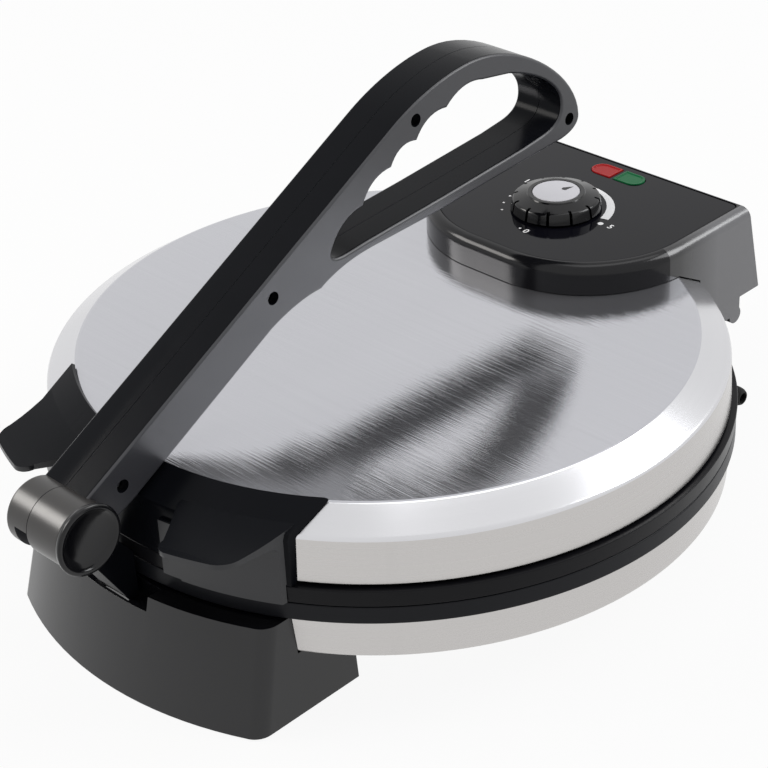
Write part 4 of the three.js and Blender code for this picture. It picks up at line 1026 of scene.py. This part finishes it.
knob = {
    "radius": 20.0, "taper": 1.0, "lift": 0.8, "shoulder": 5.8, "step": 7.6, "height": 8.2,
    "stepRadius": 12.8, "capRadius": 10.3, "capThick": 0.8, "capEdge": 0.3, "bore": 3.3, "socket": 5.8,
    "footEdge": 0.4, "shoulderEdge": 0.9, "stepEdge": 0.25, "seatEdge": 0.15,
    "flutes": 12, "fluteHalf": 0.65, "fluteDepth": 2.6, "soft": 0.35,
    "pointer": {"start": 4.2, "half": 1.3, "tip": 8.6, "angle": 68},
}


def makeKnob():
    size = knob
    bed = size["height"] - size["capThick"] - fit
    form = lathe([
        (0, bed), (0, size["socket"]), (size["bore"], size["socket"]), (size["bore"], size["lift"]),
        (size["radius"], size["lift"], size["footEdge"]),
        (size["radius"] - size["taper"], size["shoulder"], size["shoulderEdge"]),
        (size["stepRadius"], size["step"]), (size["stepRadius"] - fit, size["height"], size["stepEdge"]),
        (size["capRadius"] + fit, size["height"], size["seatEdge"]), (size["capRadius"] + fit, bed),
    ], knobSeat, 192)
    cuts = []
    deep, wide = size["radius"] - size["fluteDepth"], size["fluteHalf"]
    for count in range(size["flutes"]):
        cut = prism((deep, wide), [(deep, 0, pi), (size["radius"] + beyond, -wide), (size["radius"] + beyond, wide)],
                    size["lift"] - beyond, size["height"] + beyond)
        cut.data.transform(Matrix.Translation(knobSeat) @ Matrix.Rotation(2 * pi * count / size["flutes"], 4, "Z"))
        cuts.append(cut)
    combine(form, cuts)
    soften(form, size["soft"], 2, 40)
    finishPiece(form, "dialKnob", "knob", ["knob"], ["knobBlack"], None, 35)


def makeKnobCap():
    size = knob
    form = rod(size["capRadius"], knobSeat, size["height"], size["height"] - size["capThick"], 96,
               edge=size["capEdge"])
    finishPiece(form, "knobCap", "knob", ["knob_cap"], ["silverPaint"])


def makePointer():
    # a small drop that points outwards
    size = knob["pointer"]
    bm = bmesh.new()
    drawPlan(bm, (size["start"], -size["half"]), [(size["start"], 0.0, -pi), (size["tip"], 0.0)],
             panelTop + knob["height"])
    raisePlan(bm, dialPrint["thickness"])
    turnRound(bm, radians(size["angle"]), "Z")
    bmesh.ops.translate(bm, vec=(*machine["knob"], 0), verts=bm.verts)
    finishPiece(newForm(bm), "knobPointer", "knob", [], ["glossBlack"], None, 33)


makeKnob()
makeKnobCap()
makePointer()
print("knob ready")


# Lever: two moulded halves of a straight arm and a crowned loop with five finger grooves

lever = {
    "half": 12.5, "reach": 279.5, "crown": 111.6, "edge": 1.3, "seam": 0.15, "soft": 0.3, "far": 400,
    "hub": 13.1, "hubBand": 0.2, "hubEdge": 1.4, "hubRight": 17.4, "tongue": 9.3, "groove": 3.1,
    "slotLeft": -7.2, "slotRight": 1, "slotStart": 177, "slotEnd": 340, "slotReach": 20,
    "screwHead": 2.7, "screwNeckX": 6.0, "capStub": 6.3, "capStubX": 8.7, "cutRight": 20,
    "outline": [
        (0, [(0, 0.071), (0.608, 0.892)]),
        (18, [(0.665, 0.967), (0.726, 1), (0.771, 1)]),
        (18, [(0.869, 1), (0.998, 0.771), (1, 0.596)]),
        (18, [(1, 0.539), (0.959, 0.525)]),
        (0, [(0.785, 0.501), (0.698, 0.486), (0.553, 0.476)]),
        (14, [(0.494, 0.4695), (0.454, 0.417)]),
        (14, [(0.411, 0.417), (0.3596, 0.361)]),
        (0, [(0.1127, 0.0242)]),
        (14, [(0.0805, -0.0233), (0.0465, -0.0412)]),
        (0, [(0, -0.063)]),
    ],
    "loop": [
        (0, [(0.515, 0.5035), (0.546, 0.511), (0.699, 0.534), (0.875, 0.566), (0.916, 0.579)]),
        (16, [(0.9446, 0.588), (0.9606, 0.614), (0.9585, 0.6765)]),
        (16, [(0.9567, 0.7527), (0.9088, 0.8378), (0.846, 0.886)]),
    ],
    "cusps": [(0.791, 0.9095), (0.714, 0.868), (0.652, 0.798), (0.6, 0.742), (0.542, 0.65), (0.479, 0.542)],
    "loopHeel": [(0.468, 0.493), (0.515, 0.5035)],
    "screws": [(0.0812, 0.0771), (0.3649, 0.4758), (0.6501, 0.8772), (0.976, 0.5959)],
}


def leverPoint(share):
    return Vector((share[0] * lever["reach"], share[1] * lever["crown"], 0))


def bendPoints(last, points, count):
    # two points bend it once, three twice
    *pulls, end = points
    if len(pulls) == 1:
        pulls = [last.lerp(pulls[0], 2 / 3), end.lerp(pulls[0], 2 / 3)]
    return interpolate_bezier(last, *pulls, end, count)[1:]


def tracedPoints(rows):
    # a row is how many points its bend has, or none for straight lines, and its shares
    traced = []
    for count, shares in rows:
        points = [leverPoint(share) for share in shares]
        traced += bendPoints(traced[-1], points, count) if count else points
    return traced


def loopOutline():
    loop = tracedPoints(lever["loop"])
    cusps = [leverPoint(share) for share in lever["cusps"]]
    loop.append(cusps[0])
    for start, end in zip(cusps, cusps[1:]):
        chord = end - start
        away = Vector((chord.y, -chord.x, 0)).normalized()
        loop += bendPoints(start, [(start + end) / 2 + away * 2 * lever["groove"], end], 10)
    return loop + bendPoints(loop[-1], [leverPoint(share) for share in lever["loopHeel"]], 14)[:-1]


def leverBlank():
    curve = bpy.data.curves.new("leverBlank", "CURVE")
    curve.dimensions = "2D"
    curve.fill_mode = "BOTH"
    curve.extrude = lever["half"] - lever["edge"]
    curve.bevel_depth = lever["edge"]
    curve.bevel_resolution = 3
    curve.offset = -lever["edge"]
    for points in (tracedPoints(lever["outline"]), loopOutline()):
        spline = curve.splines.new("POLY")
        spline.points.add(len(points) - 1)
        for target, point in zip(spline.points, points):
            target.co = (*point, 1)
        spline.use_cyclic_u = True
    form = curveForm(curve, "leverBlank")
    bm = openForm(form)
    weld(bm, 0.01)
    bmesh.ops.transform(bm, matrix=sideways, verts=bm.verts)
    faceOut(bm)
    return closeForm(form, bm)


def leverHalf(left):
    size = lever
    form = leverBlank()
    hub = lathe([(0, -size["half"]), (size["hub"], -size["half"], size["hubEdge"]),
                 (size["hub"], size["hubRight"], size["hubEdge"] / 2), (0, size["hubRight"])], steps=96,
                alongX=True)
    combine(form, [hub], "UNION")
    far, inner, outer = size["far"], size["slotLeft"], size["slotRight"]
    if left:
        away = block((-size["seam"], -far, -far), (far, far, far))
        start, end = radians(size["slotStart"]), radians(size["slotEnd"])
        slot = sidePrism((0, 0), [(size["slotReach"] * cos(start), size["slotReach"] * sin(start)),
                                  (0, 0, end - start)], inner, outer)
        tools = [away, slot, crossRod(size["tongue"], origin, inner, outer, 64)]
    else:
        away = block((-far, -far, -far), (size["seam"], far, far))
        tools = [away, crossRod(size["capStub"], origin, size["capStubX"], size["cutRight"], 40)]
        for share in size["screws"]:
            y, z, _ = leverPoint(share)
            tools.append(crossRod(size["screwHead"], (0, y, z), size["screwNeckX"], size["cutRight"]))
    combine(form, tools)
    soften(form, size["soft"], 2, 50)
    form.data.transform(Matrix.Translation(machine["pivot"]))
    _, pivotY, pivotZ = machine["pivot"]

    # painted light and shade: side faces get a lighter copy of the black, the other faces a darker shaded copy, and
    # the hub band a glossier black
    def chooser(face):
        across, away = abs(face.normal.x), hypot(face.center.y - pivotY, face.center.z - pivotZ)
        if away < size["hub"] + size["hubBand"] and across < 0.9:
            return 2
        return 1 if across < 0.3 else 0

    side = "left" if left else "right"
    finishPiece(form, f"lever.{side}", "lever", [f"lever_{side}_shell"],
                ["paintedLightSideBlack", "paintedShadeBlack", "barrelBlack"], chooser)


pivotCap = {"stub": 6.0, "stubX": 9.0, "seat": 17.6, "thickness": 2.9, "radius": 14.2, "rimWidth": 1.9,
            "rimRound": 1.1, "backEdge": 0.4, "waistEdge": 0.6, "rimInner": 0.5,
            "dish": [(0.9, 1.1), (0.72, 1.7), (0.45, 2.2), (0, 2.35)]}


def makePivotCap():
    size = pivotCap
    face = size["seat"] + size["thickness"]
    inner = size["radius"] - size["rimWidth"]
    form = lathe([
        (0, size["stubX"]), (size["stub"], size["stubX"]), (size["stub"], size["seat"]),
        (size["radius"] - size["waistEdge"], size["seat"], size["backEdge"]),
        (size["radius"], face - size["thickness"] / 2, size["waistEdge"]),
        (size["radius"], face, size["rimRound"]), (inner, face, size["rimInner"]),
        *[(inner * share, face - depth) for share, depth in size["dish"]],
    ], machine["pivot"], 96, alongX=True)
    finishPiece(form, "pivotCap", "lever", ["pivot_cap"], ["barrelBlack", "knobBlack"],
                lambda face: face.center.x > size["seat"] + size["backEdge"])


leverHalf(True)
leverHalf(False)
makePivotCap()
print("lever ready")


# The nodes that keep their CAD shape

keptFinishes = {
    "bare_steel": "plainSteel", "heat_ceramic": "ceramic", "cast_aluminium": "plateMetal",
    "brushed_steel": "steelBand", "slate_plastic": "slate", "satin_black": "satinBlack",
    "gloss_black": "glossBlack", "rubber": "rubber", "grey_plastic": "silverPaint", "red_window": "redLens",
    "green_window": "greenLens", "lamp_glass": "lampGlass",
}
slotOf = {part["node"]: part["material_slot"] for part in frame["record"]["subparts"]}
for name, node in frame["nodes"].items():
    material = finishes[keptFinishes[slotOf[name]]]
    if node.data.materials:
        for index in range(len(node.data.materials)):
            node.data.materials[index] = material
    else:
        node.data.materials.append(material)
print("kept nodes dressed")


# Floor, light and camera

studio = {"floorSize": 12.0, "floorLook": {"Base Color": (0.8, 0.8, 0.8, 1), "Roughness": 0.9,
                                           "Specular IOR Level": 0.1},
          "floorGlow": 0.92, "worldStrength": 0.36, "lampAim": (0, 0, 0.06)}


def brightenSeen(tree, share, plain, bright, output):
    # the camera, mirrors and glass see the bright shader, and the light comes from the plain one
    rays = newNode(tree, "LightPath", {})
    seen = mathNode(tree, "MAXIMUM", rays["Is Camera Ray"], rays["Is Glossy Ray"])
    seen = mathNode(tree, "MAXIMUM", seen, rays["Is Transmission Ray"])
    mixed = newNode(tree, "MixShader", {0: mathNode(tree, "MULTIPLY", seen, share), 1: plain, 2: bright})
    tree.links.new(mixed[0], tree.nodes[output].inputs["Surface"])


def makeFloor():
    bm = bmesh.new()
    bmesh.ops.create_grid(bm, x_segments=1, y_segments=1, size=studio["floorSize"] / 2)
    floor = newForm(bm, "floor")
    material = bpy.data.materials.new("floor")
    material.use_nodes = True
    tree = material.node_tree
    shader = tree.nodes["Principled BSDF"]
    for label, value in studio["floorLook"].items():
        shader.inputs[label].default_value = value
    glow = newNode(tree, "Emission", {"Strength": 1.0})
    brightenSeen(tree, studio["floorGlow"], shader.outputs[0], glow[0], "Material Output")
    floor.data.materials.append(material)


def makeWorld():
    world = bpy.data.worlds.new("studio")
    scene.world = world
    world.use_nodes = True
    tree = world.node_tree
    plain = tree.nodes["Background"]
    plain.inputs["Color"].default_value = white
    plain.inputs["Strength"].default_value = studio["worldStrength"]
    bright = newNode(tree, "Background", {"Color": white, "Strength": 1.0})
    brightenSeen(tree, 1.0, plain.outputs[0], bright[0], "World Output")


lamps = {
    "window": {"place": (-1.05, -0.84, 0.97), "size": (0.8, 0.6), "power": 13.5, "colour": (1.0, 0.97, 0.93)},
    "side": {"place": (0.85, 0.98, 1.02), "size": (0.8, 0.8), "power": 12.0, "colour": (0.98, 0.99, 1.0)},
    "above": {"place": (0.12, 0.4, 1.63), "size": (0.6, 1.2), "power": 3.8, "colour": (1.0, 1.0, 1.0)},
}


def makeLamps():
    for name, lamp in lamps.items():
        light = bpy.data.lights.new(name, "AREA")
        light.shape = "RECTANGLE"
        light.size, light.size_y = lamp["size"]
        light.energy = lamp["power"]
        light.color = lamp["colour"]
        holder = addObject(name, light)
        holder.location = lamp["place"]
        away = Vector(lamp["place"]) - Vector(studio["lampAim"])
        holder.rotation_euler = away.to_track_quat("Z", "Y").to_euler()


photoView = {"eye": (0.5552, -0.52485, 0.5256), "target": (0.02146, -0.01416, 0.080), "roll": -3.1,
             "lens": 101.3, "sensor": 36.0}


def makeCamera():
    eye, target, roll = Vector(photoView["eye"]), Vector(photoView["target"]), radians(photoView["roll"])
    ahead = (target - eye).normalized()
    right = ahead.cross(Vector(upwards)).normalized()
    up = right.cross(ahead)
    rolledRight = right * cos(roll) + up * sin(roll)
    rolledUp = up * cos(roll) - right * sin(roll)
    camera = bpy.data.cameras.new("photoView")
    camera.lens = photoView["lens"]
    camera.sensor_width = photoView["sensor"]
    camera.clip_start = 0.01
    camera.clip_end = 100
    holder = addObject("photoView", camera)
    turn = Matrix((rolledRight, rolledUp, -ahead)).transposed().to_4x4()
    holder.matrix_world = Matrix.Translation(eye) @ turn
    scene.camera = holder


makeFloor()
makeWorld()
makeLamps()
makeCamera()
scene.view_settings.view_transform = "Standard"
print("studio ready")
